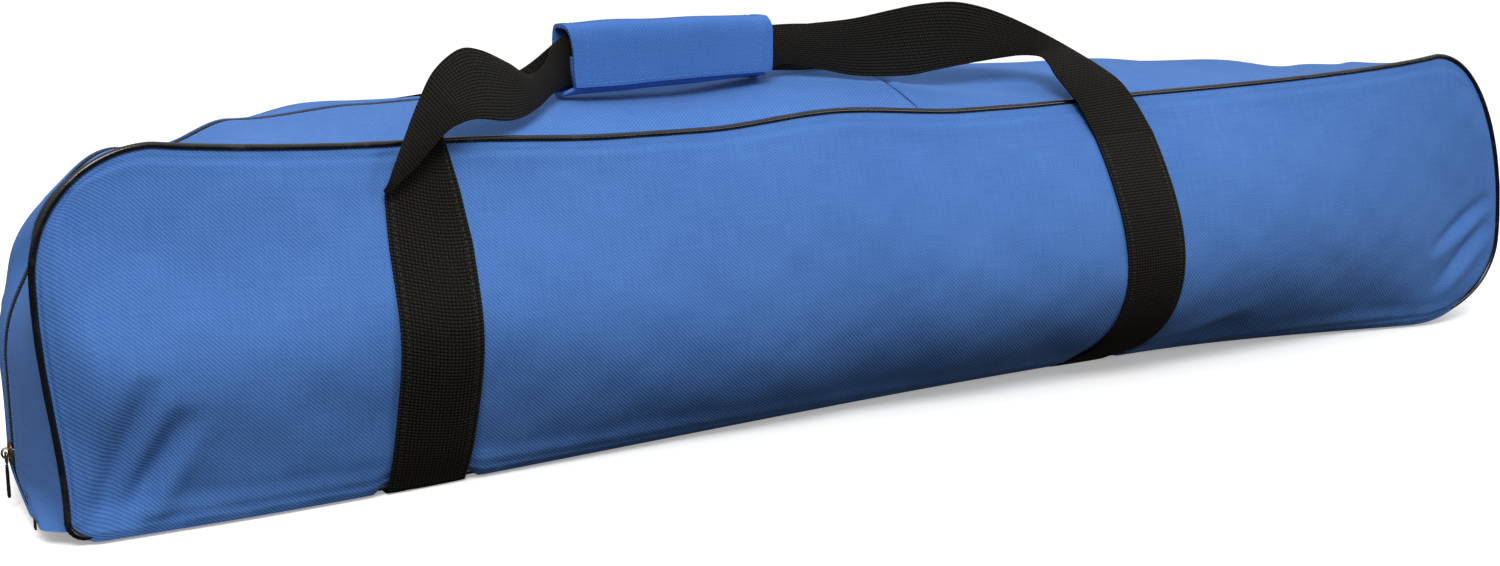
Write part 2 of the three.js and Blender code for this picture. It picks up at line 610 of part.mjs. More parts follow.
addMesh('handle_front', handleRibbon(FRONT_HANDLE, HANDLE_STATIONS.FRONT, false), materials.webbing);
addMesh('handle_rear', handleRibbon(REAR_HANDLE, HANDLE_STATIONS.REAR, true), materials.webbing);

// The hook-and-loop wrap that holds both handles: strips cut from rounded rings around them
const WRAP = { startX: -230, endX: -93, y: -35, z: 246.5, halfDepth: 12, halfHeight: 20, squareness: 0.55 };
const signedPower = (value, power) => Math.sign(value) * Math.abs(value) ** power;
function ringPoint(angle, inset) {
  const y = (WRAP.halfDepth - inset) * signedPower(Math.cos(angle), WRAP.squareness);
  const z = (WRAP.halfHeight - inset) * signedPower(Math.sin(angle), WRAP.squareness);
  return vector(0, WRAP.y + y, WRAP.z + z);
}
// angles run from the top (90) over the rear (0) and the bottom (-90) to the front (-180)
function wrapStrip(fromAngle, toAngle, pieces, insetAt, thickness, startX = WRAP.startX, endX = WRAP.endX) {
  return block(pieces, 1, (column, row, side) => {
    const share = column / pieces;
    const inset = insetAt(share) + (side ? thickness : 0);
    const point = ringPoint(degrees(fromAngle + (toAngle - fromAngle) * share), inset);
    point.x = row ? endX : startX;
    return point;
  });
}
const WRAP_THICKNESS = 2;
const HOOK = 0.8;
const hookInset = WRAP_THICKNESS + 0.3;
const loopInset = hookInset + HOOK + 0.3;
const lipInset = loopInset + HOOK + 0.3;
const lipDrop = (share) => lipInset * smooth((share - 0.55) / 0.2);
addMesh('wrap_body', wrapStrip(89.8, -182, 28, lipDrop, WRAP_THICKNESS), materials.shell);
addMesh('wrap_loop_strip', wrapStrip(-150, -180, 4, () => loopInset, HOOK, WRAP.startX + 6, WRAP.endX - 6),
  materials.tape);
addMesh('wrap_flap', wrapStrip(90.2, 206, 14, () => 0, WRAP_THICKNESS), materials.shell);
addMesh('wrap_hook_strip', wrapStrip(182, 205, 4, () => hookInset, HOOK, WRAP.startX + 6, WRAP.endX - 6),
  materials.tape);

// The zip slider on the end, its pull, and the stops at both ends of the zip
const COIL_FACE_X = ZIP_STRAIGHT_X - (TAPE_TOP + GAP + COIL_HEIGHT);
const SLIDER = { z: 34, halfWidth: 5.2, flange: 1.2, height: 13, plate: 1.4, reach: 1.9, clearance: 0.4 };
const PLATE_X = COIL_FACE_X - SLIDER.clearance;
const PLATE_OUTER_X = PLATE_X - SLIDER.plate;

// Extrudes an outline drawn in (first, second) axes and puts it in place with a change of axes.
function prism(outline, depth, basis, origin, holes = []) {
  const shape = new THREE.Shape(outline);
  holes.forEach((hole) => shape.holes.push(new THREE.Path(hole)));
  const geometry = new THREE.ExtrudeGeometry(shape, { depth, bevelEnabled: false });
  geometry.translate(0, 0, -depth / 2);
  geometry.applyMatrix4(new THREE.Matrix4().makeBasis(...basis).setPosition(origin));
  return geometry;
}
const X_AXIS = vector(1, 0, 0);
const Y_AXIS = vector(0, 1, 0);
const Z_AXIS = vector(0, 0, 1);

const flangeInner = SLIDER.halfWidth - SLIDER.flange;
const sliderOutline = [
  [-SLIDER.plate, -SLIDER.halfWidth + 1], [-SLIDER.plate, SLIDER.halfWidth - 1],
  [-SLIDER.plate / 2, SLIDER.halfWidth], [SLIDER.reach, SLIDER.halfWidth],
  [SLIDER.reach, flangeInner], [0, flangeInner], [0, -flangeInner], [SLIDER.reach, -flangeInner],
  [SLIDER.reach, -SLIDER.halfWidth], [-SLIDER.plate / 2, -SLIDER.halfWidth],
].map(([x, y]) => point2(x, y));
addMesh('zip_slider_body', prism(sliderOutline, SLIDER.height, [X_AXIS, Y_AXIS, Z_AXIS],
  vector(PLATE_X, 0, SLIDER.z)), materials.metal);

const BAIL = { halfLength: 3.5, holeHalfLength: 2.2, rise: 4.2, hole: 3.2, width: 3, lift: 0.1 };
const bailOutline = [
  [-BAIL.halfLength, 0], [-BAIL.halfLength, BAIL.rise - 1.4], [-BAIL.halfLength + 1.2, BAIL.rise],
  [BAIL.halfLength - 1.2, BAIL.rise], [BAIL.halfLength, BAIL.rise - 1.4], [BAIL.halfLength, 0],
  [BAIL.holeHalfLength, 0], [BAIL.holeHalfLength, BAIL.hole], [-BAIL.holeHalfLength, BAIL.hole],
  [-BAIL.holeHalfLength, 0],
].map(([z, outward]) => point2(z, outward));
addMesh('zip_slider_bail', prism(bailOutline, BAIL.width, [Z_AXIS, X_AXIS.clone().negate(), Y_AXIS.clone().negate()],
  vector(PLATE_OUTER_X - BAIL.lift, 0, SLIDER.z)), materials.metal);

const PULL = { axisOut: 1.65, barHalf: 0.8, thickness: 1.3, halfWidth: 3, holeHalfWidth: 1.9, ringLength: 6.4 };
const PULL_TAB = { gap: 0.3, length: 20, topHalfWidth: 2.4, endHalfWidth: 1.9, thickness: 1.5 };
const pullAxis = vector(PLATE_OUTER_X - PULL.axisOut, 0, SLIDER.z);
const pullBasis = [Y_AXIS, Z_AXIS, X_AXIS];
const rectangle = (halfWidth, low, high) => [
  point2(-halfWidth, low), point2(halfWidth, low), point2(halfWidth, high), point2(-halfWidth, high),
];
addMesh('zip_pull_link', prism(
  rectangle(PULL.halfWidth, -PULL.ringLength, PULL.barHalf), PULL.thickness, pullBasis, pullAxis,
  [rectangle(PULL.holeHalfWidth, -PULL.ringLength + 1.4, -PULL.barHalf)],
), materials.metal);
const tabTop = -PULL.ringLength - PULL_TAB.gap;
const tabEnd = tabTop - PULL_TAB.length;
addMesh('zip_pull_tab', prism([
  point2(-PULL_TAB.topHalfWidth, tabTop), point2(-PULL_TAB.endHalfWidth, tabEnd + 1),
  point2(-PULL_TAB.endHalfWidth + 1, tabEnd), point2(PULL_TAB.endHalfWidth - 1, tabEnd),
  point2(PULL_TAB.endHalfWidth, tabEnd + 1), point2(PULL_TAB.topHalfWidth, tabTop),
], PULL_TAB.thickness, pullBasis, pullAxis), materials.pull);

const STOP = { length: 3, halfWidth: 3.4, thickness: 1 };
const BOTTOM_STOP_Z = 10;
const bottomStopX = COIL_FACE_X - GAP - STOP.thickness / 2;
const bottomStopPlace = settled(vector(bottomStopX, 0, BOTTOM_STOP_Z));
addMesh('zip_bottom_stop', prism(rectangle(STOP.length / 2, -STOP.halfWidth, STOP.halfWidth), STOP.thickness,
  pullBasis, bottomStopPlace), materials.metal);
const topStopAt = crownPoint(zipSection(atTopX(CROSS_SEAM_X - 3)), 0);
addMesh('zip_top_stop', prism(rectangle(STOP.halfWidth, -STOP.length / 2, STOP.length / 2), STOP.thickness,
  [Y_AXIS, X_AXIS, Z_AXIS.clone().negate()], vector(CROSS_SEAM_X - 3, 0, topStopAt.z + 0.6)), materials.metal);

export default model;
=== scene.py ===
"""A long soft carry case for a telescope: blue woven fabric, black piping and webbing, a zip from end to top.

Design values are in millimetres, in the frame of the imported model, and the meshes are made in metres.
"""
import math

import bmesh
import bpy
import numpy as np
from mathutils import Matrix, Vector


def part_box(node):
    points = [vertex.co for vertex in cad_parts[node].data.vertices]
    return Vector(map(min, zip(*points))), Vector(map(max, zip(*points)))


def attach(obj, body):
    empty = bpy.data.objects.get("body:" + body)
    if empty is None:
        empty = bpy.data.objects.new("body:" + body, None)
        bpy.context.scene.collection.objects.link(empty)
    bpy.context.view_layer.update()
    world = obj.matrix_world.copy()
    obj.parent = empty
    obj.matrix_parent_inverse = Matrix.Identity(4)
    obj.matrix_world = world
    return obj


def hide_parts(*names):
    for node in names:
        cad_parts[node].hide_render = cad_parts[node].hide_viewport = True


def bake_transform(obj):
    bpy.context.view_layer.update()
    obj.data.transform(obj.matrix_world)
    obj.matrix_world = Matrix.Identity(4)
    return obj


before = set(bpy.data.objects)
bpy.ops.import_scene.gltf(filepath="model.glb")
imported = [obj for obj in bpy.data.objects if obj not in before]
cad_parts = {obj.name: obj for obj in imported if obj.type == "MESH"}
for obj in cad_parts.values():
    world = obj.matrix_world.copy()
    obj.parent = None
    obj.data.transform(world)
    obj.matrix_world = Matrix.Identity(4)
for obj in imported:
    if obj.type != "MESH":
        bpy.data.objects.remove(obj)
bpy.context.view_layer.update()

MM = 0.001

# ---------------------------------------------------------------- camera

CAMERA_PLACE = (-0.7495, -1.1648, 0.367)
CAMERA_TURN = (math.radians(78), 0, math.radians(-29.8))
CAMERA_LENS = 48


def add_camera():
    data = bpy.data.cameras.new("camera")
    data.lens = CAMERA_LENS
    data.sensor_width = 36
    camera = bpy.data.objects.new("camera", data)
    camera.location = CAMERA_PLACE
    camera.rotation_euler = CAMERA_TURN
    bpy.context.scene.collection.objects.link(camera)
    bpy.context.scene.camera = camera


add_camera()

# ---------------------------------------------------------------- driving dimensions, as in the CAD model

ZIP_END = -566
ROUND_END = 564
TOP_HEIGHT = 217
TOP_MIDDLE_HEIGHT = 204.5
SEAM_LIFT = 5
SEAM_HALF_DEPTH = 85
BASE_TUCK = 50
TUCK_HEIGHT = 70
FULLEST_X = 230
FULL_FROM, FULL_TO = -470, 560
SIDE_BULGE = 16
FULLEST_EXTRA_BULGE = 55
FABRIC = 1.2
FOAM = 5
LINING = 0.6
LAYER_GAP = 0.35
FLOOR_GAP = 0.05
PIPING_RADIUS = 1.95
PANEL_BORDER = 3.6
WEBBING = 1.6
WEBBING_WIDTH = 50
ZIP_STRAIGHT_X = -569
ZIP_STRAIGHT_TOP = 88
ZIP_FABRIC_GAP = 6
TAPE_HALF_WIDTH = 17
TAPE = 0.6
FLAP_HINGE_Y = 55
FLAP_START_X = -376
FLAP_END_X = -6
CROSS_SEAM_X = 0
SAG = {
    "zip_end": 36, "zip_end_from": -375, "zip_end_run": 115,
    "round_end": 27, "round_end_from": 290, "round_end_run": 170,
    "lean": 12, "upper_lean": 20, "upper_from": 135, "upper_rise": 50,
    "zip_foot": -76, "foot_x": -549.5, "foot_top": 26, "foot_height": 18,
}

# ---------------------------------------------------------------- small maths


def smooth(value):
    """0 up to zero, 1 from one on, and an eased rise in between."""
    share = np.clip(value, 0, 1)
    return share * share * (3 - 2 * share)


def unit(vectors):
    length = np.linalg.norm(vectors, axis=-1, keepdims=True)
    return vectors / np.maximum(length, 1e-9)


def hump(value, width):
    """A smooth hill of height 1 round zero."""
    return np.exp(-((value / width) ** 2))


def facing(direction, points):
    """One direction, given to every point of an array."""
    return np.broadcast_to(np.array(direction, float), points.shape)


def read_off(distance, reach, rows):
    """The rows of a table, read between their places along a line."""
    return np.stack([np.interp(distance, reach, column) for column in np.asarray(rows).T], -1)


def between(stops, value):
    """Eases from stop to stop of a list of (place, amount)."""
    places = np.array([place for place, _ in stops], float)
    amounts = np.array([amount for _, amount in stops], float)
    value = np.clip(value, places[0], places[-1])
    i = np.clip(np.searchsorted(places, value, side="left") - 1, 0, len(places) - 2)
    share = smooth((value - places[i]) / (places[i + 1] - places[i]))
    return amounts[i] + (amounts[i + 1] - amounts[i]) * share


def ripple(a, b, size, seed):
    """Soft uneven waves between about -1 and 1 over the plane (a, b), with a typical size in millimetres."""
    random = np.random.default_rng(seed)
    total = 0
    for _ in range(5):
        angle = random.uniform(0, 2 * math.pi)
        turn = 2 * math.pi / (size * random.uniform(0.7, 1.6))
        start = random.uniform(0, 2 * math.pi)
        total = total + np.sin((a * math.cos(angle) + b * math.sin(angle)) * turn + start)
    return total / 2.6


CREASE_LIP = 0.45


def crease(a, b, start, end, depth, width):
    """A valley from start to end with a raised lip on its left, fading out at both ends."""
    run = np.array(end, float) - np.array(start, float)
    length = np.hypot(*run)
    direction = run / length
    along = ((a - start[0]) * direction[0] + (b - start[1]) * direction[1]) / length
    across = (b - start[1]) * direction[0] - (a - start[0]) * direction[1]
    fade = np.sin(math.pi * np.clip(along, 0, 1)) ** 0.8
    return depth * fade * (CREASE_LIP * hump(across - 1.7 * width, width) - hump(across, width))


def settled(points):
    """The sag of the empty case, as in the CAD model: the rear half sinks at both ends and leans in at the
    zip end, and the foot of the zip is pulled over to the front corner."""
    x, y, z = points[..., 0], points[..., 1], points[..., 2]
    rear = smooth(y / 70) * smooth(z / 150)
    sink = (SAG["zip_end"] * smooth((SAG["zip_end_from"] - x) / SAG["zip_end_run"])
            + SAG["round_end"] * smooth((x - SAG["round_end_from"]) / SAG["round_end_run"]))
    upper = smooth((z - SAG["upper_from"]) / SAG["upper_rise"])
    lean = SAG["lean"] * smooth(z / 70) + SAG["upper_lean"] * upper
    foot = SAG["zip_foot"] * np.clip((SAG["foot_top"] - z) / SAG["foot_height"], 0, 1) ** 1.5
    foot = np.where(x < SAG["foot_x"], foot, 0) * (1 - np.clip(np.abs(y) / SEAM_HALF_DEPTH, 0, 1))
    x = x + lean * smooth((y - 25) / 60) * smooth((-430 - x) / 90)
    return np.stack([x, y + foot, np.maximum(z - sink * rear, FLOOR_GAP)], -1)


class Route:
    """A line through points, read by the share of its length."""

    def __init__(self, *pieces):
        points = [np.asarray(piece, float) for piece in pieces]
        joined = [points[0]] + [piece[1:] for piece in points[1:]]
        self.points = np.vstack(joined)
        steps = np.linalg.norm(np.diff(self.points, axis=0), axis=1)
        self.reach = np.concatenate([[0], np.cumsum(steps)])
        self.length = self.reach[-1]

    def at(self, share):
        return read_off(np.asarray(share, float) * self.length, self.reach, self.points)

    def tangent(self, share, step=0.0015):
        share = np.asarray(share, float)
        return unit(self.at(np.clip(share + step, 0, 1)) - self.at(np.clip(share - step, 0, 1)))


CURVE_STEPS = 160
TO_FRONT, TO_BACK, DOWN = (0, -1, 0), (0, 1, 0), (0, 0, -1)


def line(start, end):
    return np.linspace(start, end, CURVE_STEPS)


def bezier(start, first, second, end):
    share = np.linspace(0, 1, CURVE_STEPS)[:, None]
    rest = 1 - share
    start, first, second, end = (np.array(point, float) for point in (start, first, second, end))
    return rest**3 * start + 3 * rest**2 * share * first + 3 * rest * share**2 * second + share**3 * end


def spline(points, samples):
    """A centripetal Catmull-Rom curve through points, sampled evenly by its length."""
    points = np.asarray(points, float)
    points = np.vstack([2 * points[0] - points[1], points, 2 * points[-1] - points[-2]])
    knots = np.concatenate([[0], np.cumsum(np.linalg.norm(np.diff(points, axis=0), axis=1) ** 0.5)])
    curve = []
    for i in range(1, len(points) - 2):
        p0, p1, p2, p3 = points[i - 1:i + 3]
        t0, t1, t2, t3 = knots[i - 1:i + 3]
        t = np.linspace(t1, t2, 24, endpoint=i == len(points) - 3)[:, None]
        a1 = (t1 - t) / (t1 - t0) * p0 + (t - t0) / (t1 - t0) * p1
        a2 = (t2 - t) / (t2 - t1) * p1 + (t - t1) / (t2 - t1) * p2
        a3 = (t3 - t) / (t3 - t2) * p2 + (t - t2) / (t3 - t2) * p3
        b1 = (t2 - t) / (t2 - t0) * a1 + (t - t0) / (t2 - t0) * a2
        b2 = (t3 - t) / (t3 - t1) * a2 + (t - t1) / (t3 - t1) * a3
        curve.append((t2 - t) / (t2 - t1) * b1 + (t - t1) / (t2 - t1) * b2)
    return Route(np.vstack(curve)).at(np.linspace(0, 1, samples))


def grid_normals(points, outward):
    """Normals of a grid of points, on the side that the array outward points to."""
    normal = unit(np.cross(np.gradient(points, axis=0), np.gradient(points, axis=1)))
    away = np.sum(normal * outward, axis=-1, keepdims=True) < 0
    return np.where(away, -normal, normal)


def arc_lengths(points, axis):
    steps = np.linalg.norm(np.diff(points, axis=axis), axis=-1)
    start = np.zeros_like(np.take(steps, [0], axis=axis))
    return np.cumsum(np.concatenate([start, steps], axis=axis), axis=axis)


# ---------------------------------------------------------------- meshes


def grid_quads(columns, rows, first=0):
    index = first + np.arange(columns * rows).reshape(columns, rows)
    return np.stack([index[:-1, :-1], index[1:, :-1], index[1:, 1:], index[:-1, 1:]], -1).reshape(-1, 4)


class Shape:
    """Vertices, faces and cloth coordinates in millimetres, gathered into one object."""

    def __init__(self):
        self.vertices, self.faces, self.cloth, self.finishes = [], [], [], []
        self.count = 0

    def add(self, vertices, faces, cloth, finish=0):
        vertices = np.asarray(vertices, float).reshape(-1, 3)
        self.vertices.append(vertices)
        self.cloth.append(np.asarray(cloth, float).reshape(-1, 2))
        self.faces += [[int(i) + self.count for i in face] for face in faces]
        self.finishes += [finish] * len(faces)
        self.count += len(vertices)

    def add_sheet(self, outer, inner, cloth):
        """A closed sheet between two grids of points."""
        columns, rows = outer.shape[:2]
        size = columns * rows
        index = np.arange(size).reshape(columns, rows)
        rim = np.concatenate([index[:-1, 0], index[-1, :-1], index[:0:-1, -1], index[0, :0:-1]])
        after = np.roll(rim, -1)
        faces = np.vstack([
            grid_quads(columns, rows),
            grid_quads(columns, rows, size)[:, ::-1],
            np.stack([after, rim, rim + size, after + size], -1),
        ])
        self.add(np.concatenate([outer.reshape(-1, 3), inner.reshape(-1, 3)]), faces,
                 np.concatenate([cloth.reshape(-1, 2)] * 2))

    def add_sweep(self, rings, cloth, closed):
        """A tube through rings of points, one ring per column; closed joins the last ring to the first."""
        columns, sides = rings.shape[:2]
        index = np.arange(columns * sides).reshape(columns, sides)
        across = np.roll(index, -1, axis=1)
        following = np.roll(index, -1, axis=0)
        corner = np.roll(across, -1, axis=0)
        quads = np.stack([index, following, corner, across], -1)
        quads = quads if closed else quads[:-1]
        faces = quads.reshape(-1, 4).tolist()
        if not closed:
            faces += [index[0].tolist(), index[-1, ::-1].tolist()]
        self.add(rings, faces, cloth)

    def build(self, name, finishes, merge=False, sharp=55, sagged=True):
        mesh = bpy.data.meshes.new(name)
        vertices = np.vstack(self.vertices)
        vertices = (settled(vertices) if sagged else vertices) * MM
        mesh.from_pydata(vertices.tolist(), [], self.faces)
        layer = mesh.uv_layers.new(name="cloth")
        corners = np.zeros(len(mesh.loops), np.int32)
        mesh.loops.foreach_get("vertex_index", corners)
        cloth = (np.vstack(self.cloth) * MM)[corners]
        layer.data.foreach_set("uv", cloth.astype(np.float32).ravel())
        mesh.polygons.foreach_set("material_index", np.array(self.finishes, np.int32))
        work = bmesh.new()
        work.from_mesh(mesh)
        if merge:
            bmesh.ops.remove_doubles(work, verts=work.verts, dist=1e-6)
        bmesh.ops.recalc_face_normals(work, faces=work.faces)
        work.to_mesh(mesh)
        work.free()
        mesh.shade_smooth()
        mesh.set_sharp_from_angle(angle=math.radians(sharp))
        for finish in finishes:
            mesh.materials.append(finish)
        thing = bpy.data.objects.new(name, mesh)
        bpy.context.scene.collection.objects.link(thing)
        return thing


def ring_angles(sides):
    return np.arange(sides) * 2 * math.pi / sides


def tube_rings(track, first, second, thick, wide, sides):
    """Rings of an oval tube along a track, thick in its first direction and wide in its second."""
    angle = ring_angles(sides)
    return (track[:, None] + thick * np.cos(angle)[None, :, None] * first[:, None]
            + wide * np.sin(angle)[None, :, None] * second[:, None])


# the rings of a rounded rod: their place along it and their radius, as shares of its own
ROD_RINGS = ((-0.5, 0.35), (-0.36, 0.9), (0.36, 0.9), (0.5, 0.35))


def add_rods(shape, places, along, up, length, radius, finish=0, sides=6):
    """Many short rounded rods at places, lying along one direction each."""
    along, up = unit(along), unit(up)
    side = unit(np.cross(along, up))
    up = np.cross(side, along)
    columns = len(ROD_RINGS)
    index = np.arange(columns * sides).reshape(columns, sides)
    across = np.roll(index, -1, axis=1)
    quads = np.stack([index[:-1], index[1:], across[1:], across[:-1]], -1).reshape(-1, 4)
    caps = [index[0].tolist(), index[-1, ::-1].tolist()]
    local = np.array([(x * length, radius * wide * math.cos(turn), radius * wide * math.sin(turn))
                      for x, wide in ROD_RINGS for turn in ring_angles(sides)])
    vertices = (places[:, None, :] + local[None, :, 0:1] * along[:, None, :]
                + local[None, :, 1:2] * side[:, None, :] + local[None, :, 2:3] * up[:, None, :])
    count = len(local)
    faces = []
    for i in range(len(places)):
        faces += (quads + i * count).tolist()
        faces += [[corner + i * count for corner in cap] for cap in caps]
    cloth = np.repeat(places[:, [0, 2]], count, axis=0) + np.tile(local[:, :2], (len(places), 1))
    shape.add(vertices, faces, cloth, finish)


STITCH = {"length": 2.9, "pitch": 4.0, "radius": 0.42, "sink": 0.12}
THREAD = 1


def add_stitches(shape, points, normals):
    """A row of stitches along a line of points, lying on the side that the normals point to."""
    route = Route(points)
    count = max(2, int(route.length / STITCH["pitch"]))
    share = (np.arange(count) + 0.5) / count
    up = read_off(share * route.length, route.reach, normals)
    add_rods(shape, route.at(share) - unit(up) * STITCH["sink"], route.tangent(share), up,
             STITCH["length"], STITCH["radius"], THREAD)


# ---------------------------------------------------------------- materials


class Finish:
    """A node material, built a node at a time around its Principled shader."""

    def __init__(self, name, **settings):
        self.material = bpy.data.materials.new(name)
        self.material.use_nodes = True
        self.tree = self.material.node_tree
        self.shader = self.tree.nodes["Principled BSDF"]
        for socket, value in settings.items():
            self.shader.inputs[socket.replace("_", " ")].default_value = value

    def put(self, socket, value):
        if isinstance(value, bpy.types.NodeSocket):
            self.tree.links.new(value, socket)
        else:
            socket.default_value = value

    def node(self, kind, inputs=(), **settings):
        node = self.tree.nodes.new(kind)
        for name, value in settings.items():
            setattr(node, name, value)
        for name, value in dict(inputs).items():
            self.put(node.inputs[name], value)
        return node

    def math(self, operation, first, second=0.0, third=0.0, clamp=False):
        inputs = {0: first, 1: second, 2: third}
        return self.node("ShaderNodeMath", inputs, operation=operation, use_clamp=clamp).outputs[0]

    def times(self, first, second, **options):
        return self.math("MULTIPLY", first, second, **options)

    def plus(self, first, second, **options):
        return self.math("ADD", first, second, **options)

    def scaled(self, value, factor, offset, **options):
        return self.math("MULTIPLY_ADD", value, factor, offset, **options)

    def cloth(self):
        """Cloth coordinates in millimetres, as two sockets."""
        pick = self.node("ShaderNodeUVMap", uv_map="cloth").outputs[0]
        scaled = self.node("ShaderNodeVectorMath", {0: pick, "Scale": 1000.0}, operation="SCALE").outputs[0]
        parts = self.node("ShaderNodeSeparateXYZ", {0: scaled})
        return scaled, parts.outputs[0], parts.outputs[1]

    def noise(self, vector, scale, detail=3.0, roughness=0.5):
        inputs = {"Vector": vector, "Scale": scale, "Detail": detail, "Roughness": roughness}
        return self.node("ShaderNodeTexNoise", inputs).outputs["Fac"]

    def stretched_noise(self, vector, stretch, detail):
        """Noise drawn out along the cloth: the smaller the stretch in a direction, the longer its streaks."""
        drawn = self.node("ShaderNodeVectorMath", {0: vector, 1: stretch}, operation="MULTIPLY").outputs[0]
        return self.noise(drawn, 1.0, detail)

    def place(self):
        """The point on the object, in metres."""
        return self.node("ShaderNodeTexCoord").outputs["Object"]

    def span(self, value, low, high, to_low=0.0, to_high=1.0):
        inputs = {"Value": value, 1: low, 2: high, 3: to_low, 4: to_high}
        return self.node("ShaderNodeMapRange", inputs, interpolation_type="SMOOTHSTEP").outputs[0]

    def blend(self, factor, first, second):
        node = self.node("ShaderNodeMix", data_type="RGBA")
        for index, value in ((0, factor), (6, first), (7, second)):
            self.put(node.inputs[index], value)
        return node.outputs[2]

    def bump(self, height, distance, strength=1.0, over=None):
        inputs = {"Height": height, "Distance": distance, "Strength": strength}
        if over is not None:
            inputs["Normal"] = over
        return self.node("ShaderNodeBump", inputs).outputs[0]

    def finish(self, **links):
        for socket, value in links.items():
            self.put(self.shader.inputs[socket.replace("_", " ")], value)
        return self.material


def colour(*channels):
    return (*channels, 1.0)


def woven(finish, pitch_along, pitch_across):
    """Height of a plain weave and a mask that tells its warp from its weft."""
    _, along, across = finish.cloth()
    sine_row = finish.math("SINE", finish.times(across, math.pi / pitch_across))
    sine_column = finish.math("SINE", finish.times(along, math.pi / pitch_along))
    warp = finish.math("ABSOLUTE", sine_column)
    weft = finish.math("ABSOLUTE", sine_row)
    over = finish.scaled(finish.times(sine_row, sine_column), 2.5, 0.5, clamp=True)
    lean = finish.math("SUBTRACT", 1.0, over)
    height = finish.plus(finish.times(warp, over), finish.times(weft, lean))
    dip = finish.math("POWER", finish.times(warp, weft), 0.3)
    return finish.times(height, dip), over


def twill(finish, pitch):
    """Height of a coarse cloth whose threads line up in slanting rows, with a dot for each crossing."""
    _, along, across = finish.cloth()
    rank = finish.times(finish.plus(along, across), 2 * math.pi / (pitch * 1.414))
    dot = finish.times(finish.math("SUBTRACT", along, across), 2 * math.pi / (pitch * 0.95))
    row = finish.scaled(finish.math("SINE", rank), 0.5, 0.5)
    bead = finish.scaled(finish.math("SINE", dot), 0.5, 0.5)
    return finish.times(row, finish.scaled(bead, 0.7, 0.3))


def make_fabric(name, deep, lit, pitch, scuffed):
    """Coarse woven polyester in slanting rows: a painted shaded tone in the weave's hollows and a painted lit
    tone on its crests, with uneven yarns and faint wear.
    """
    finish = Finish(name, Sheen_Weight=0.05, Sheen_Roughness=0.45, Sheen_Tint=colour(0.8, 0.88, 1.0),
                    Specular_IOR_Level=0.2)
    height = twill(finish, pitch)
    vector, _, _ = finish.cloth()
    slubs = [finish.stretched_noise(vector, stretch, 2.0) for stretch in ((0.04, 0.9, 1.0), (0.9, 0.04, 1.0))]
    yarn = finish.plus(*slubs)
    patches = finish.noise(finish.place(), 7.0, 4.0, 0.6)
    tone = finish.plus(finish.times(height, 0.5), 0.27)
    tone = finish.plus(tone, finish.scaled(yarn, 0.3, -0.3))
    tone = finish.plus(tone, finish.scaled(patches, 0.4, -0.2), clamp=True)
    # painted light: the weave's hollows take the shaded tone and its crests the lit tone; the yarn and patch
    # noise in the mix is real unevenness
    tint = finish.blend(tone, colour(*deep), colour(*lit))
    rough = finish.scaled(height, -0.12, 0.88)
    if scuffed:
        rub = finish.span(finish.noise(finish.place(), 11.0, 6.0, 0.72), 0.6, 0.78, 0.0, 0.14)
        rub = finish.times(rub, finish.span(height, 0.3, 0.9))
        tint = finish.blend(rub, tint, colour(0.34, 0.47, 0.74))
    fuzz = finish.noise(vector, 1.6, 4.0, 0.7)
    coarse = finish.bump(finish.noise(finish.place(), 28.0, 3.0), 0.0022, 0.28)
    fine = finish.bump(finish.plus(height, finish.times(fuzz, 0.3)), 0.0004, 0.55, coarse)
    return finish.finish(Base_Color=tint, Roughness=rough, Normal=fine)


def make_webbing(name):
    """Heavy black webbing: rows of thick weft across it, an olive cast where the light catches the yarns."""
    finish = Finish(name, Sheen_Weight=0.02, Sheen_Roughness=0.5, Sheen_Tint=colour(0.75, 0.68, 0.5),
                    Specular_IOR_Level=0.14)
    height, over = woven(finish, 2.3, 2.1)
    vector, _, _ = finish.cloth()
    yarn = finish.noise(vector, 0.8, 3.0, 0.6)
    patches = finish.noise(finish.place(), 16.0, 3.0)
    tone = finish.times(finish.math("POWER", height, 2.2), finish.scaled(yarn, 0.8, 0.45))
    tone = finish.times(tone, finish.scaled(patches, 0.9, 0.45), clamp=True)
    tint = finish.blend(tone, colour(0.0008, 0.0007, 0.0006), colour(0.029, 0.025, 0.017))
    rough = finish.scaled(over, -0.12, 0.7)
    fibre = finish.stretched_noise(vector, (0.6, 4.0, 1.0), 2.0)
    bump = finish.bump(finish.plus(height, finish.times(fibre, 0.2)), 0.0007, 0.9)
    return finish.finish(Base_Color=tint, Roughness=rough, Normal=bump)


def make_piping():
    """Glossy black vinyl over a cord, with faint cross wrinkles and scuffs."""
    finish = Finish("black_vinyl", Specular_IOR_Level=0.45, Coat_Weight=0.2, Coat_Roughness=0.12)
    vector, _, _ = finish.cloth()
    wrinkle = finish.stretched_noise(vector, (0.5, 0.1, 1.0), 3.0)
    scuff = finish.span(finish.noise(finish.place(), 60.0, 5.0, 0.7), 0.5, 0.75)
    tint = finish.blend(scuff, colour(0.006, 0.006, 0.007), colour(0.022, 0.021, 0.02))
    rough = finish.scaled(scuff, 0.25, 0.2)
    return finish.finish(Base_Color=tint, Roughness=rough, Normal=finish.bump(wrinkle, 0.0005, 0.35))


def make_tape():
    """Woven zip tape: narrow slanted ribs in black."""
    finish = Finish("zip_tape", Sheen_Weight=0.1, Specular_IOR_Level=0.3)
    height, over = woven(finish, 0.8, 0.6)
    tint = finish.blend(height, colour(0.003, 0.003, 0.0032), colour(0.02, 0.02, 0.021))
    rough = finish.scaled(over, -0.1, 0.85)
    return finish.finish(Base_Color=tint, Roughness=rough, Normal=finish.bump(height, 0.0002, 0.8))


def make_nylon(name, dark, light, rough):
    """Moulded or drawn nylon with a slightly uneven gloss."""
    finish = Finish(name, Specular_IOR_Level=0.5)
    cloud = finish.noise(finish.place(), 300.0, 3.0)
    tint = finish.blend(cloud, dark, light)
    gloss = finish.scaled(cloud, 0.25, rough)
    return finish.finish(Base_Color=tint, Roughness=gloss, Normal=finish.bump(cloud, 0.0001, 0.3))


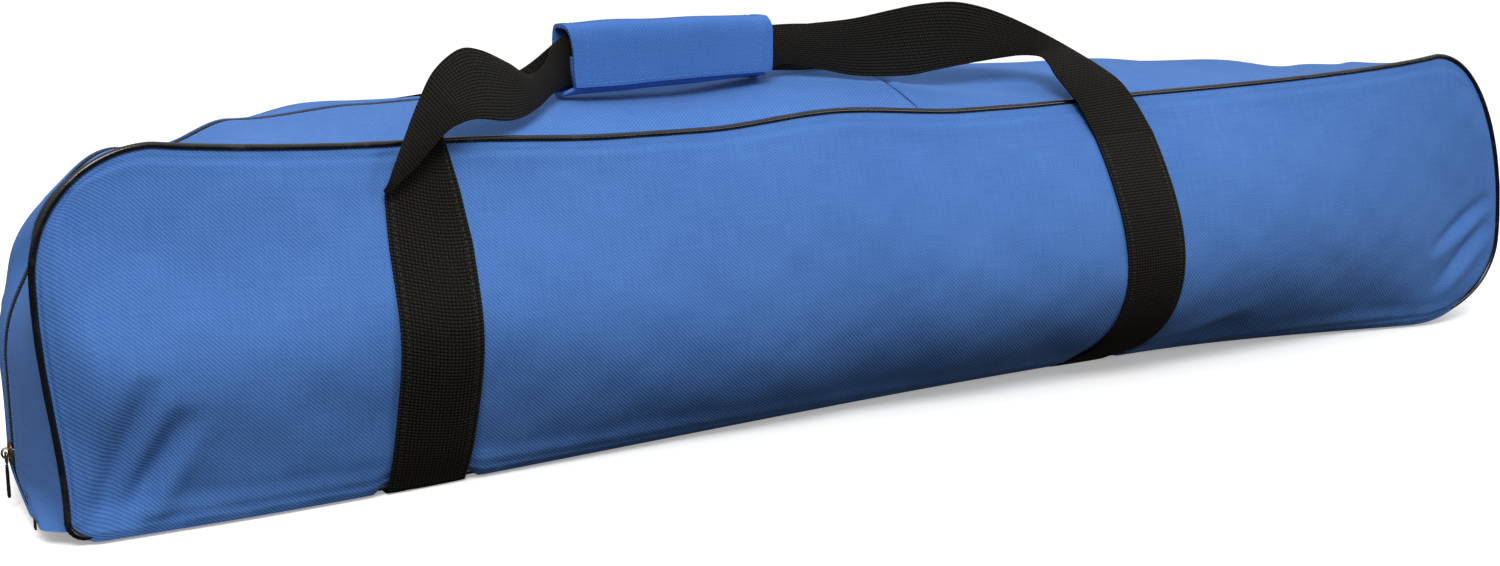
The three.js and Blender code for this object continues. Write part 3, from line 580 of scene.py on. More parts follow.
def make_metal(name, dark, light, rough, metallic=1.0):
    """Cast metal with a worn plating: darker in patches, brighter where it rubs."""
    finish = Finish(name, Metallic=metallic)
    wear = finish.span(finish.noise(finish.place(), 260.0, 5.0, 0.65), 0.35, 0.7)
    grain = finish.noise(finish.place(), 1400.0, 3.0)
    tint = finish.blend(wear, dark, light)
    gloss = finish.scaled(grain, 0.22, rough)
    return finish.finish(Base_Color=tint, Roughness=gloss, Normal=finish.bump(grain, 0.00006, 0.4))


def make_foam():
    """Closed-cell foam: pale grey with fine open pores on the cut faces."""
    finish = Finish("grey_foam", Specular_IOR_Level=0.25)
    pores = finish.node("ShaderNodeTexVoronoi", {"Vector": finish.place(), "Scale": 900.0})
    cells = pores.outputs["Distance"]
    patches = finish.noise(finish.place(), 12.0, 3.0)
    tone = finish.plus(finish.times(cells, 0.8), finish.times(patches, 0.3), clamp=True)
    tint = finish.blend(tone, colour(0.22, 0.22, 0.215), colour(0.42, 0.42, 0.41))
    return finish.finish(Base_Color=tint, Roughness=0.9, Normal=finish.bump(cells, 0.0005, 0.6))


def make_strip(name, hooked):
    """Hook tape or loop tape: a dense pile on a woven ground."""
    finish = Finish(name, Sheen_Weight=0.05 if hooked else 0.4, Specular_IOR_Level=0.4)
    vector, _, _ = finish.cloth()
    if hooked:
        pile, _ = woven(finish, 1.5, 1.2)
    else:
        pile = finish.noise(vector, 1.4, 6.0, 0.8)
    tint = finish.blend(pile, colour(0.003, 0.003, 0.003), colour(0.04, 0.04, 0.042))
    return finish.finish(Base_Color=tint, Roughness=0.75, Normal=finish.bump(pile, 0.0008, 0.9))


# name, painted shaded and lit tones of the weave, pitch of the weave in millimetres, and whether it is scuffed
FABRICS = (
    ("blue_polyester", (0.029, 0.106, 0.355), (0.114, 0.264, 0.625), 1.9, True),
    ("blue_wrap_polyester", (0.030, 0.105, 0.36), (0.08, 0.215, 0.58), 1.7, True),
    ("grey_lining", (0.012, 0.013, 0.015), (0.05, 0.052, 0.058), 1.2, False),
    ("black_binding", (0.004, 0.004, 0.004), (0.024, 0.024, 0.026), 1.4, False),
)
blue, blue_wrap, grey_lining, black_binding = (make_fabric(*fabric) for fabric in FABRICS)
black_webbing = make_webbing("black_webbing")
black_vinyl = make_piping()
zip_tape = make_tape()
coil_nylon = make_nylon("coil_nylon", colour(0.004, 0.004, 0.004), colour(0.016, 0.016, 0.016), 0.28)
blue_thread = make_nylon("blue_thread", colour(0.04, 0.13, 0.42), colour(0.09, 0.22, 0.6), 0.5)
black_thread = make_nylon("black_thread", colour(0.004, 0.004, 0.004), colour(0.02, 0.019, 0.017), 0.5)
plated_zinc = make_metal("plated_zinc", colour(0.16, 0.115, 0.07), colour(0.52, 0.42, 0.30), 0.24)
black_enamel = make_metal("black_enamel", colour(0.006, 0.006, 0.007), colour(0.03, 0.029, 0.028), 0.2, 0.35)
grey_foam = make_foam()
hook_tape = make_strip("hook_tape", True)
loop_tape = make_strip("loop_tape", False)

# ---------------------------------------------------------------- the seam's outline and the case's surfaces

CORNER = {
    "bottom_left": (-547, SEAM_LIFT + 10, 10, 10),
    "top_left": (ZIP_END + 66, TOP_HEIGHT - 68, 66, 68),
    "top_right": (ROUND_END - 84, 68, 84, TOP_HEIGHT - 68),
    "bottom_right": (ROUND_END - 84, 68, 84, 68 - SEAM_LIFT),
}


def arc(corner, start, end, inset=0):
    """A corner of the outline between two angles in degrees, set in from the seam."""
    x, z, radius_x, radius_z = CORNER[corner]
    angle = np.radians(np.linspace(start, end, CURVE_STEPS))
    return np.column_stack([x + (radius_x - inset) * np.cos(angle), z + (radius_z - inset) * np.sin(angle)])


# how far the top seam runs above or below its plain curve, by x
TOP_WAVE = ((-400, 0), (-325, 1), (-225, -2.4), (-165, -2.4), (-69, 3.8), (35, -2), (75, -2), (200, 0))


def waved(curve):
    """A top curve with the slow wave that its seam has."""
    curve = curve.copy()
    curve[:, 1] += between(TOP_WAVE, curve[:, 0])
    return curve


def outline_curves(inset):
    """The outline between its corners, in (x, z), set in from the seam."""
    low, top, middle = SEAM_LIFT + inset, TOP_HEIGHT - inset, (CROSS_SEAM_X, TOP_MIDDLE_HEIGHT - inset)
    left_x, right_x = CORNER["top_left"][0], CORNER["top_right"][0]
    return {
        "up_the_left": bezier((-557 + inset, CORNER["bottom_left"][1]), (-556 + inset, 55),
                              (ZIP_END - 1 + inset, 95), (ZIP_END + inset, CORNER["top_left"][1])),
        "top_left": waved(bezier((left_x, top), (-400, 204 - inset), (-220, 205 - inset), middle)),
        "top_right": waved(bezier(middle, (200, 204 - inset), (400, 206 - inset), (right_x, top))),
        "bottom": line((CORNER["bottom_left"][0], low), (CORNER["bottom_right"][0], low)),
    }


def outline_route(inset, *parts):
    """A route along the outline: each part names a curve, or a corner with the angles of its arc."""
    curves = outline_curves(inset)
    return Route(*(curves[part] if isinstance(part, str) else arc(*part, inset) for part in parts))


def outline_sides(inset):
    """The four sides of the outline, which meet in the middle of each corner."""
    return {
        "left": outline_route(inset, ("bottom_left", 225, 180), "up_the_left", ("top_left", 180, 135)),
        "top": outline_route(inset, ("top_left", 135, 90), "top_left", "top_right", ("top_right", 90, 45)),
        "right": outline_route(inset, ("bottom_right", -45, 0), ("top_right", 0, 45)),
        "bottom": outline_route(inset, ("bottom_left", 225, 270), "bottom", ("bottom_right", -90, -45)),
    }


SEAM_SIDES = outline_sides(0)
PANEL_SIDES = outline_sides(PANEL_BORDER)
UP_AND_OVER = ("up_the_left", ("top_left", 180, 90), "top_left")
DOWN_THE_ROUND_END = ("top_right", ("top_right", 90, 0), ("bottom_right", 0, -90))
ZIP_ROUTE = outline_route(0, ("bottom_left", 225, 180), *UP_AND_OVER)
ROUND_ROUTE = outline_route(0, *DOWN_THE_ROUND_END)
RING_ROUTE = Route(outline_route(0, ("bottom_left", 270, 180), *UP_AND_OVER, *DOWN_THE_ROUND_END).points,
                   outline_curves(0)["bottom"][::-1])


def fullness(x):
    """How full the case is at x: 0 at both ends and 1 at its fullest section."""
    rising = (x - FULL_FROM) / (FULLEST_X - FULL_FROM)
    rise = np.where(x < FULLEST_X, rising, (FULL_TO - x) / (FULL_TO - FULLEST_X))
    return np.sin(math.pi / 2 * np.clip(rise, 0, 1)) ** 1.5


def seam_half_depth(x, z):
    """Half the distance between the two seams, which draw in under the case where it is full."""
    return SEAM_HALF_DEPTH - BASE_TUCK * fullness(x) * (1 - smooth(z / TUCK_HEIGHT))


def on_seam(flat):
    """The points of the front seam above points (x, z) of the outline."""
    x, z = flat[..., 0], flat[..., 1]
    return np.stack([x, -seam_half_depth(x, z), z], -1)


EDGE_SHARE = PANEL_BORDER / TOP_MIDDLE_HEIGHT


def panel_point(along, up):
    """The front panel before any sculpting: a patch between its four edges, bulged to the front."""
    along, up = np.asarray(along, float), np.asarray(up, float)
    bottom, top = (on_seam(PANEL_SIDES[side].at(along)) for side in ("bottom", "top"))
    left, right = (on_seam(PANEL_SIDES[side].at(up)) for side in ("left", "right"))
    corner = {(i, j): on_seam(PANEL_SIDES[side].at(float(i)))
              for i in (0, 1) for j, side in enumerate(("bottom", "top"))}
    s, t = along[..., None], up[..., None]
    point = bottom * (1 - t) + top * t + left * (1 - s) + right * s
    point = point - corner[0, 0] * (1 - s) * (1 - t) - corner[1, 0] * s * (1 - t)
    point = point - corner[0, 1] * (1 - s) * t - corner[1, 1] * s * t
    height = EDGE_SHARE + (1 - 2 * EDGE_SHARE) * up
    # the bulge holds along the panel and drops off at its ends; it peaks below half height
    plateau = np.sqrt(np.clip(1 - np.abs(2 * along - 1) ** 8, 0, 1))
    rise = np.sin(math.pi * height**0.75)
    bulge = (SIDE_BULGE + FULLEST_EXTRA_BULGE * fullness(point[..., 0])) * plateau * rise
    point[..., 1] -= bulge
    return point


PANEL_LENGTH = 1118
PANEL_HEIGHT = 235
BAND_LEAN = {"left": ((-350, 0), (-350, 205)), "right": ((176, 20), (154, 205))}
# the left and right edges of the left band by height: near the top its left side is folded over to the front
FOLDED_EDGES = ((0, -375, -325), (150, -375, -325.5), (180, -374, -329), (196, -366, -332), (207, -358, -334),
                (216, -350, -337))


def band_x(name, z):
    """Where a band's middle runs at a height."""
    (low_x, low_z), (high_x, high_z) = BAND_LEAN[name]
    return low_x + (high_x - low_x) * np.clip((z - low_z) / (high_z - low_z), 0, 1)


def from_band(name, x, z):
    """How far a place is from a band's edge: less than zero under the band."""
    return np.abs(x - band_x(name, z)) - WEBBING_WIDTH / 2


def band_edges(name, z, folded):
    """Where the two edges of a band run at a height."""
    if folded and name == "left":
        height, left, right = np.array(FOLDED_EDGES).T
        return np.interp(z, height, left), np.interp(z, height, right)
    middle = band_x(name, z)
    return middle - WEBBING_WIDTH / 2, middle + WEBBING_WIDTH / 2


def edge_stations(length, near, count):
    """Shares of a length, close together at both ends and even in between."""
    near = np.array(near) / length
    middle = np.linspace(near[-1], 1 - near[-1], count)
    return np.concatenate([near[:-1], middle, 1 - near[:-1][::-1]])


END_FULLNESS = {"depth": 12, "height": 100, "spread": 42, "end": -120, "reach": 300}
OVERHANG = {"height": 24, "step": (0, -2.4, -3.2)}


def end_fullness(x, z):
    """How far the panel stands out at half its height towards the zip end, over a lower part that tucks in."""
    rise = hump(z - END_FULLNESS["height"], END_FULLNESS["spread"])
    return END_FULLNESS["depth"] * rise * smooth((END_FULLNESS["end"] - x) / END_FULLNESS["reach"])


NEAR_SEAM = (0, 1.2, 2.6, 4.5, 7, 10.5)
PANEL_COLUMNS = edge_stations(PANEL_LENGTH, NEAR_SEAM, 270)
PANEL_ROWS = edge_stations(PANEL_HEIGHT, NEAR_SEAM, 62)

# creases as start, end, depth and width, on the front and the back panel
FRONT_CREASES = [
    ((-512, 96), (-544, 6), 6.5, 7),
    ((-494, 76), (-534, 2), 7.5, 8),
    ((548, 104), (470, 66), 4.4, 6),
    ((548, 84), (486, 34), 4.6, 7),
    ((196, 6), (292, 34), 4.2, 8),
]
BACK_CREASES = [
    ((-470, 96), (-540, 40), 2.4, 10),
    ((410, 110), (470, 60), 2.4, 10),
    ((-120, 60), (-200, 32), 1.8, 11),
]


def sculpt_panel(point, along, up, creases, seed):
    """How far the fabric stands out from the plain panel, in millimetres."""
    x, z = point[..., 0], point[..., 2]
    from_end = np.minimum(along, 1 - along) * PANEL_LENGTH
    from_edge = np.minimum(up, 1 - up) * PANEL_HEIGHT
    near = np.minimum(from_end, from_edge)
    inside = smooth(near / 26)
    # slow waves and small ones
    lift = 1.3 * ripple(x, z * 1.4, 170, seed) * inside
    lift = lift + 0.35 * ripple(x, z, 46, seed + 1) * inside
    for start, end, depth, width in creases:
        lift = lift + crease(x, z, start, end, depth, width) * smooth(near / 12)
    lift = lift + end_fullness(x, z) * inside
    # gathers along the seam, then the groove and the doubled cloth beside the piping
    run = np.where(from_end < from_edge, z, x)
    pucker = np.sin(run / 5.2 + 1.7 * ripple(run, run * 0, 60, seed + 2))
    lift = lift + 0.34 * pucker * np.exp(-near / 7) * smooth(near / 2.4)
    lift = lift - 0.55 * hump(near - 4.5, 1.4) + 0.5 * hump(near - 9, 4)
    # pressed in under each band and along its edges
    for name in BAND_LEAN:
        away = from_band(name, x, z)
        lift = lift - (0.9 * hump(away, 4) + 0.5 * smooth(-away / 4)) * smooth(near / 6)
    return lift


def panel_grid(creases, seed):
    """Points and outward normals of the front panel, with its border out to the seam line."""
    along, up = np.meshgrid(PANEL_COLUMNS, PANEL_ROWS, indexing="ij")
    plain = panel_point(along, up)
    lift = sculpt_panel(plain, along, up, creases, seed)
    columns, rows = plain.shape[:2]
    points = np.zeros((columns + 2, rows + 2, 3))
    points[1:-1, 1:-1] = plain + grid_normals(plain, facing(TO_FRONT, plain)) * lift[..., None]
    for column, side in ((0, "left"), (-1, "right")):
        points[column, 1:-1] = on_seam(SEAM_SIDES[side].at(PANEL_ROWS))
    for row, side in ((0, "bottom"), (-1, "top")):
        points[:, row] = on_seam(SEAM_SIDES[side].at(np.concatenate([[0], PANEL_COLUMNS, [1]])))
    x, z = points[..., 0], points[..., 2]
    hang = smooth((OVERHANG["height"] - z) / 20) * smooth((x + 552) / 10)
    for name in BAND_LEAN:
        hang = hang * smooth((from_band(name, x, 0) - 2) / 8)
    points = points + hang[..., None] * np.array(OVERHANG["step"])
    return points, grid_normals(points, facing(TO_FRONT, points))


def cloth_of(points, first_axis_from_x=True):
    """Cloth coordinates of a grid: along its columns by x or by length, and along its rows by length."""
    across = arc_lengths(points, 1)
    middle = points.shape[1] // 2
    across = across - across[:, middle:middle + 1]
    along = points[..., 0] if first_axis_from_x else np.broadcast_to(
        arc_lengths(points, 0)[:, middle:middle + 1], across.shape)
    return np.stack([along, across], -1)


AS_DRAWN, MIRROR = np.array([1, 1, 1]), np.array([1, -1, 1])
SIDES = {"front": AS_DRAWN, "back": MIRROR}
ZIP_SIDES = {"front": AS_DRAWN, "rear": MIRROR}


def add_layer(shape, points, normals, outer, inner, cloth):
    shape.add_sheet(points + normals * outer, points + normals * inner, cloth)


def settle(piece, body, slot, *nodes):
    """Rides on a body and stands for CAD nodes, which it hides; its slot is not used."""
    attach(piece, body)
    if nodes:
        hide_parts(*nodes)
    return piece


FOAM_TOP = -FABRIC - LAYER_GAP
LINING_TOP = FOAM_TOP - FOAM - LAYER_GAP


def add_foam(name, node, points, normals, cloth):
    shape = Shape()
    add_layer(shape, points, normals, FOAM_TOP, FOAM_TOP - FOAM, cloth)
    foam = shape.build(name, [grey_foam])
    settle(foam, "case", "foam", node)


def add_lining(name, node, points, normals, cloth):
    shape = Shape()
    add_layer(shape, points, normals, LINING_TOP, LINING_TOP - LINING, cloth)
    settle(shape.build(name, [grey_lining]), "case", "lining", node)


# ---------------------------------------------------------------- panels with their foam and lining

FOAM_AREA = (slice(9, -9),) * 2
LINING_AREA = (slice(6, -6),) * 2


def make_panel(side, creases, seed):
    """One side of the case: its fabric, foam and lining."""
    points, normals = panel_grid(creases, seed)
    cloth = cloth_of(points)
    points, normals = points * SIDES[side], normals * SIDES[side]
    shape = Shape()
    add_layer(shape, points, normals, 0, -FABRIC, cloth)
    panel = shape.build(f"{side}_panel_fabric", [blue], merge=True)
    settle(panel, "case", "case_fabric", f"{side}_panel")
    add_foam(f"{side}_foam", f"{side}_foam_pad", points[FOAM_AREA], normals[FOAM_AREA], cloth[FOAM_AREA])
    sag = 0.8 * ripple(points[..., 0], points[..., 2], 90, seed + 5)[..., None]
    loose = points - normals * (1.2 + sag)
    add_lining(f"{side}_lining_cloth", f"{side}_lining",
               loose[LINING_AREA], normals[LINING_AREA], cloth[LINING_AREA])


make_panel("front", FRONT_CREASES, 11)
make_panel("back", BACK_CREASES, 23)

# ---------------------------------------------------------------- piping and the binding inside each seam


MIDDLE = np.array([0, 0, 110.0])


def seam_frame(count):
    """Points round the seam with their directions out of the outline and towards the back."""
    share = np.arange(count) / count
    flat = RING_ROUTE.at(share)
    centre = on_seam(flat)
    tangent = unit(np.roll(centre, -1, axis=0) - np.roll(centre, 1, axis=0))
    back = facing(TO_BACK, centre)
    outward = unit(np.cross(tangent, back))
    inward = np.sum(outward * (centre - MIDDLE) * [0.2, 0, 1], -1, keepdims=True) < 0
    outward = np.where(inward, -outward, outward)
    return share * RING_ROUTE.length, centre, outward, back


PIPING_STEP = 2.4
PIPING_SIDES = 14


def make_piping_piece(side, seed):
    """The vinyl cord round one panel."""
    count = int(RING_ROUTE.length / PIPING_STEP)
    run, centre, outward, back = seam_frame(count)
    radius = (PIPING_RADIUS * (1 + 0.035 * ripple(run, run * 0, 26, seed)))[:, None, None]
    rings = tube_rings(centre, outward, back, radius, radius, PIPING_SIDES)
    cloth = np.stack(np.broadcast_arrays(run[:, None], ring_angles(PIPING_SIDES)[None] * PIPING_RADIUS), -1)
    shape = Shape()
    shape.add_sweep(rings * SIDES[side], cloth, closed=True)
    settle(shape.build(f"{side}_piping_cord", [black_vinyl]), "case", "piping", f"{side}_piping")


BINDING = {"start": 2.5, "end": 12, "near": 2.6, "far": 5.2}


def make_binding(side):
    """The folded tape over the seam allowance, inside one seam."""
    run, centre, outward, back = seam_frame(520)
    corners = [("start", "near"), ("end", "near"), ("end", "far"), ("start", "far")]
    rings = np.stack([centre - outward * BINDING[depth] + back * BINDING[height]
                      for depth, height in corners], 1)
    swell = 0.25 * np.sin(run / 1.9)[:, None, None]
    rings = rings + swell * back[:, None] * np.array([-1, -1, 1, 1])[None, :, None] * 0.5
    cloth = np.stack(np.broadcast_arrays(run[:, None], np.array([0.0, 9, 12, 21])[None]), -1)
    shape = Shape()
    shape.add_sweep(rings * SIDES[side], cloth, closed=True)
    settle(shape.build(f"{side}_binding_tape", [black_binding], sharp=40), "case", "lining",
           f"{side}_seam_binding")


for seed, side in enumerate(SIDES):
    make_piping_piece(side, 40 + seed)
    make_binding(side)

# ---------------------------------------------------------------- the gusset

# how far the middle of the gusset stands out of the seams' outline, by the share of its length
ZIP_CROWN = ((0.12, -3.5), (0.2, -16), (0.265, -18.5), (0.33, -12), (0.36, -10),
             (0.42, 6), (0.52, 13), (0.7, 20), (1, 20))
ROUND_CROWN = ((0, 20), (0.22, 17), (0.4, 7), (0.54, -5), (0.61, -12),
               (0.68, -8), (0.8, 6), (0.9, 5), (1, SEAM_LIFT - 0.2))


def section_normal(route, share):
    tangent = route.tangent(share)
    return np.stack([-tangent[..., 1], tangent[..., 0]], -1)


def zip_section(share):
    """The middle line of the zipped gusset: its points in (x, z), their outward directions and their crown."""
    flat = ZIP_ROUTE.at(share)
    normal = section_normal(ZIP_ROUTE, share)
    corner_x, corner_z = CORNER["top_left"][:2]
    normal = np.where((flat[..., 1] <= corner_z)[..., None], [-1.0, 0.0], normal)
    over_the_top = flat[..., 0] >= corner_x
    normal = np.where(over_the_top[..., None], [0.0, 1.0], normal)
    straight = flat[..., 0] - ZIP_STRAIGHT_X
    blend = np.where(over_the_top, 1, smooth((flat[..., 1] - ZIP_STRAIGHT_TOP) / 60))
    return flat, normal, straight * (1 - blend) + between(ZIP_CROWN, share) * blend


def round_section(share):
    """The same for the gusset over the right half of the top and down the round end."""
    return ROUND_ROUTE.at(share), section_normal(ROUND_ROUTE, share), between(ROUND_CROWN, share)


def crown_point(section, y):
    """A point of the gusset, whose middle stands out by the crown while its seams stay in place."""
    flat, normal, crown = section
    depth = seam_half_depth(flat[..., 0], flat[..., 1])
    lift = (crown * (1 - (y / depth) ** 2))[..., None]
    reach = flat + normal * lift
    return np.stack([reach[..., 0], y, reach[..., 1]], -1)


def away_from_middle(points):
    """Directions roughly away from the inside of the case."""
    return np.stack([points[..., 0] * 0.2, points[..., 1] * 0, points[..., 2] - 60], -1)


def share_at_top_x(x):
    """How far along the zipped gusset a place on its top is."""
    shares = np.linspace(0.3, 1, 2000)
    return float(np.interp(x, ZIP_ROUTE.at(shares)[:, 0], shares))


FLAP_SHARES = (share_at_top_x(FLAP_START_X), share_at_top_x(FLAP_END_X))
ZIP_STATIONS = np.linspace(0.002, 0.9995, 300)
ZIP_HEM = 11
REAR_FULLNESS = 7


def seam_puckers(run, from_seam, seed):
    """Small gathers in the cloth along a piped seam."""
    wave = np.sin(run / 5.5 + 1.8 * ripple(run, run * 0, 70, seed))
    return 0.4 * wave * np.exp(-from_seam / 7) * smooth(from_seam / 2)


def cross_seam(distance):
    """The groove of the seam across the top, with the doubled cloth beside it."""
    return 0.7 * hump(distance - 6, 4) - 1.3 * hump(distance, 1.6)


def flap_weight(points):
    """How much of the fabric at a point folds in with its flap: none at the hinge line and at both ends."""
    x, y = points[..., 0], np.abs(points[..., 1])
    lens = smooth((x - FLAP_START_X) / 150) * smooth((FLAP_END_X - x) / 110)
    near_top = smooth((points[..., 2] - 190) / 8)
    return lens * smooth((FLAP_HINGE_Y + 3 - y) / 26) * near_top


def bend_between(piece, weight_at):
    """Bakes a piece's place into its mesh and works out a weight for each of its points, which is not used."""
    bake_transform(piece)
    places = np.zeros(len(piece.data.vertices) * 3)
    piece.data.vertices.foreach_get("co", places)
    weight = weight_at(places.reshape(-1, 3) / MM)


def bend_with_flap(piece):
    """Bakes a piece's place and works out how much of it lies in the folding half of the zipped top, which is
    not used.
    """
    bend_between(piece, flap_weight)


def zip_grid(stations, rows_y):
    """Points on the zipped gusset at set distances from the zip, or a share of the way to the seam."""
    share = np.asarray(stations)[:, None] * np.ones(len(rows_y))[None]
    section = zip_section(share)
    y = -np.asarray(rows_y, float)[None] * np.ones(len(stations))[:, None]
    points = crown_point(section, y)
    return points, grid_normals(points, away_from_middle(points))


# distances from the zip's middle of the rows of points on the gusset beside it
ZIP_ROWS = np.concatenate([[ZIP_FABRIC_GAP, 6.6, 8, 9.5, 11, 12.5, 14.5], np.linspace(18, 75, 20),
                           [78, 80.5, 82.5, 84, SEAM_HALF_DEPTH]])
ZIP_STITCH_ROW = 3


def make_zip_gusset(name, seed):
    """One half of the zipped gusset, hemmed and stitched beside the zip."""
    points, normals = zip_grid(ZIP_STATIONS, ZIP_ROWS)
    distance = arc_lengths(points, 0)
    from_seam = SEAM_HALF_DEPTH - np.broadcast_to(ZIP_ROWS, distance.shape)
    from_zip = np.broadcast_to(ZIP_ROWS, distance.shape) - ZIP_FABRIC_GAP
    inside = smooth(from_seam / 22) * smooth(from_zip / 18)
    lift = 1.1 * ripple(distance, from_zip * 1.5, 130, seed) * inside
    if name == "rear":
        arch = np.sin(math.pi * from_seam / SEAM_HALF_DEPTH)
        fuller = REAR_FULLNESS * hump(points[..., 2] - 150, 32) * arch
        lift = lift + fuller * smooth(from_zip / 18)
    lift = lift + seam_puckers(distance, from_seam, seed + 3)
    lift = lift + 0.55 * smooth((ZIP_HEM - from_zip) / 2.2) * smooth(from_zip / 1.1)
    lift = lift - 0.45 * hump(from_zip - 4.2, 1.0)
    lift = lift + cross_seam(CROSS_SEAM_X - points[..., 0])
    points = points + normals * lift[..., None]
    cloth = cloth_of(points, False)
    points, normals = points * ZIP_SIDES[name], normals * ZIP_SIDES[name]
    shape = Shape()
    add_layer(shape, points, normals, 0, -FABRIC, cloth)
    add_stitches(shape, points[4:-2, ZIP_STITCH_ROW], normals[4:-2, ZIP_STITCH_ROW])
    gusset = shape.build(f"zip_gusset_{name}_fabric", [blue, blue_thread])
    bend_with_flap(gusset)
    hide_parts(f"zip_gusset_{name}", f"zip_flap_{name}")


for seed, name in enumerate(ZIP_SIDES):
    make_zip_gusset(name, 60 + 10 * seed)

# as on the panels, over x and y
ROUND_CREASES = [
    ((8, -18), (128, -78), 3.2, 15),
    ((8, 26), (90, 76), 2.4, 14),
]


def gusset_rows():
    half = np.concatenate([np.linspace(0, 0.86, 22), [0.9, 0.935, 0.96, 0.98, 1.0]])
    return np.concatenate([-half[::-1], half[1:]])


# columns and rows of the round end's grid that its padding lies under: down the end, clear of the seams
END_PAD_AREA = (slice(185, 318), slice(4, -4))


def make_round_gusset():
    """The gusset from the cross seam over the top and down the round end, with its padding."""
    share, across = np.meshgrid(np.linspace(0.0006, 1, 330), gusset_rows(), indexing="ij")
    section = round_section(share)
    depth = seam_half_depth(section[0][..., 0], section[0][..., 1])
    points = crown_point(section, across * depth)
    normals = grid_normals(points, away_from_middle(points))
    distance = arc_lengths(points, 0)
    from_seam = depth - np.abs(points[..., 1])
    inside = smooth(from_seam / 24) * smooth(distance / 12)
    lift = 1.2 * ripple(distance, points[..., 1] * 1.4, 140, 81) * inside
    lift = lift + seam_puckers(distance + 40 * np.sign(across), from_seam, 85)
    for start, end, deep, width in ROUND_CREASES:
        top = smooth((points[..., 2] - 150) / 20)
        lift = lift + crease(points[..., 0], points[..., 1], start, end, deep, width) * inside * top
    lift = (lift + cross_seam(distance)) * smooth((points[..., 2] - 1) / 14)
    points = points + normals * lift[..., None]
    cloth = cloth_of(points, False)
    shape = Shape()
    add_layer(shape, points, normals, 0, -FABRIC, cloth)
    settle(shape.build("round_end_gusset_fabric", [blue]), "case", "case_fabric", "round_end_gusset")

    points, normals, cloth = points[END_PAD_AREA], normals[END_PAD_AREA], cloth[END_PAD_AREA]
    add_foam("round_end_foam", "round_end_foam_pad", points, normals, cloth)
    add_lining("round_end_lining_cloth", "round_end_lining", points - normals * 0.6, normals, cloth)


make_round_gusset()

BASE_START, BASE_END = -549, 478
BASE_ROWS = np.concatenate([[-1, -0.985, -0.96, -0.92], np.linspace(-0.86, 0.86, 21), [0.92, 0.96, 0.985, 1]])
BAND_RECESS = WEBBING + 0.7
BAND_FEET = (-350, 160)


def band_recess(x):
    """How far the base is pressed in at x by the bands that pass under it."""
    return sum(BAND_RECESS * smooth((WEBBING_WIDTH / 2 + 7 - np.abs(x - foot)) / 6) for foot in BAND_FEET)


def base_grid(edge_share, edge_lift):
    x, across = np.meshgrid(np.linspace(BASE_START, BASE_END, 210), BASE_ROWS, indexing="ij")
    half = seam_half_depth(x, SEAM_LIFT)
    lift = edge_lift * smooth((np.abs(across) - 0.72) / 0.28)
    z = np.maximum(lift, band_recess(x))
    points = np.stack([x, across * half * edge_share, z], -1)
    return points, facing(DOWN, points), np.stack([x, points[..., 1]], -1)


def make_base():
    """The strip under the case, pressed in by the bands, with its padding."""
    points, normals, cloth = base_grid(1.0, SEAM_LIFT - 0.6)
    shape = Shape()
    add_layer(shape, points, normals, 0, -FABRIC, cloth)
    settle(shape.build("base_gusset_fabric", [blue]), "case", "case_fabric", "base_gusset")
    add_foam("base_foam", "base_foam_pad", *(grid[6:-6] for grid in base_grid(0.86, 1.2)))
    points, normals, cloth = (grid[3:-3] for grid in base_grid(0.94, 1.6))
    loose = 0.5 * (1 + ripple(points[..., 0], points[..., 1], 80, 91))
    add_lining("base_lining_cloth", "base_lining", points - normals * loose[..., None], normals, cloth)


make_base()

# ---------------------------------------------------------------- the zip

TAPE_TOP = -FABRIC - LAYER_GAP
TAPE_ROWS = (0.5, 2, 4, 6, 9, 13, TAPE_HALF_WIDTH)
TOOTH = {"pitch": 1.6, "length": 3.8, "centre": 1.75, "radius": 0.62}
ZIP_PARTS = (("end", (0.01, FLAP_SHARES[0]), 120), ("top", FLAP_SHARES, 220))


def zip_tooth_places(shares, offset):
    """Points along the middle of the settled zip, a tooth apart, with outward and lengthwise directions."""
    dense = np.linspace(*shares, 1200)
    points, normals = zip_grid(dense, [0.0, 0.01])
    middle = Route(settled(points[:, 0]))
    count = int(middle.length / TOOTH["pitch"])
    distance = (np.arange(count) + offset) / count * middle.length
    up = read_off(distance, middle.reach, normals[:, 0])
    places = middle.at(distance / middle.length)
    return places, unit(up), unit(np.gradient(places, axis=0))


def make_zip(name):
    """One side of the zip: its tape and its coil, along the end and along the top."""
    flip = ZIP_SIDES[name]
    offset, sense = (0.25, 1) if name == "front" else (0.75, -1)
    for part, shares, columns in ZIP_PARTS:
        points, normals = zip_grid(np.linspace(*shares, columns), TAPE_ROWS)
        shape = Shape()
        add_layer(shape, points * flip, normals * flip, TAPE_TOP, TAPE_TOP - TAPE, cloth_of(points, False))
        tape = shape.build(f"{part}_tape_{name}", [zip_tape])

        places, up, along = zip_tooth_places(shares, offset)
        away = unit(np.cross(along, up)) * sense
        places = places + away * TOOTH["centre"]
        shape = Shape()
        across = away + 0.22 * along
        lower = places + up * (TAPE_TOP + 0.45)
        upper = places + up * (TAPE_TOP + 1.25) + along * 0.25
        add_rods(shape, lower, across, up, TOOTH["length"], TOOTH["radius"])
        add_rods(shape, upper, across, up, TOOTH["length"], TOOTH["radius"], sides=8)
        add_rods(shape, places + up * (TAPE_TOP + 0.85) - away * 1.35, up, along, 1.5, 0.5)
        coil = shape.build(f"{part}_coil_{name}", [coil_nylon], sagged=False)
        for piece, slot, node in ((tape, "zip_tape", "zip_tape"), (coil, "zip_coil", "zip_coil")):
            if part == "top":
                bend_with_flap(piece)
            else:
                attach(piece, "case")
            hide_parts(f"{part}_{node}_{name}")


for name in ZIP_SIDES:
    make_zip(name)

# ---------------------------------------------------------------- webbing bands

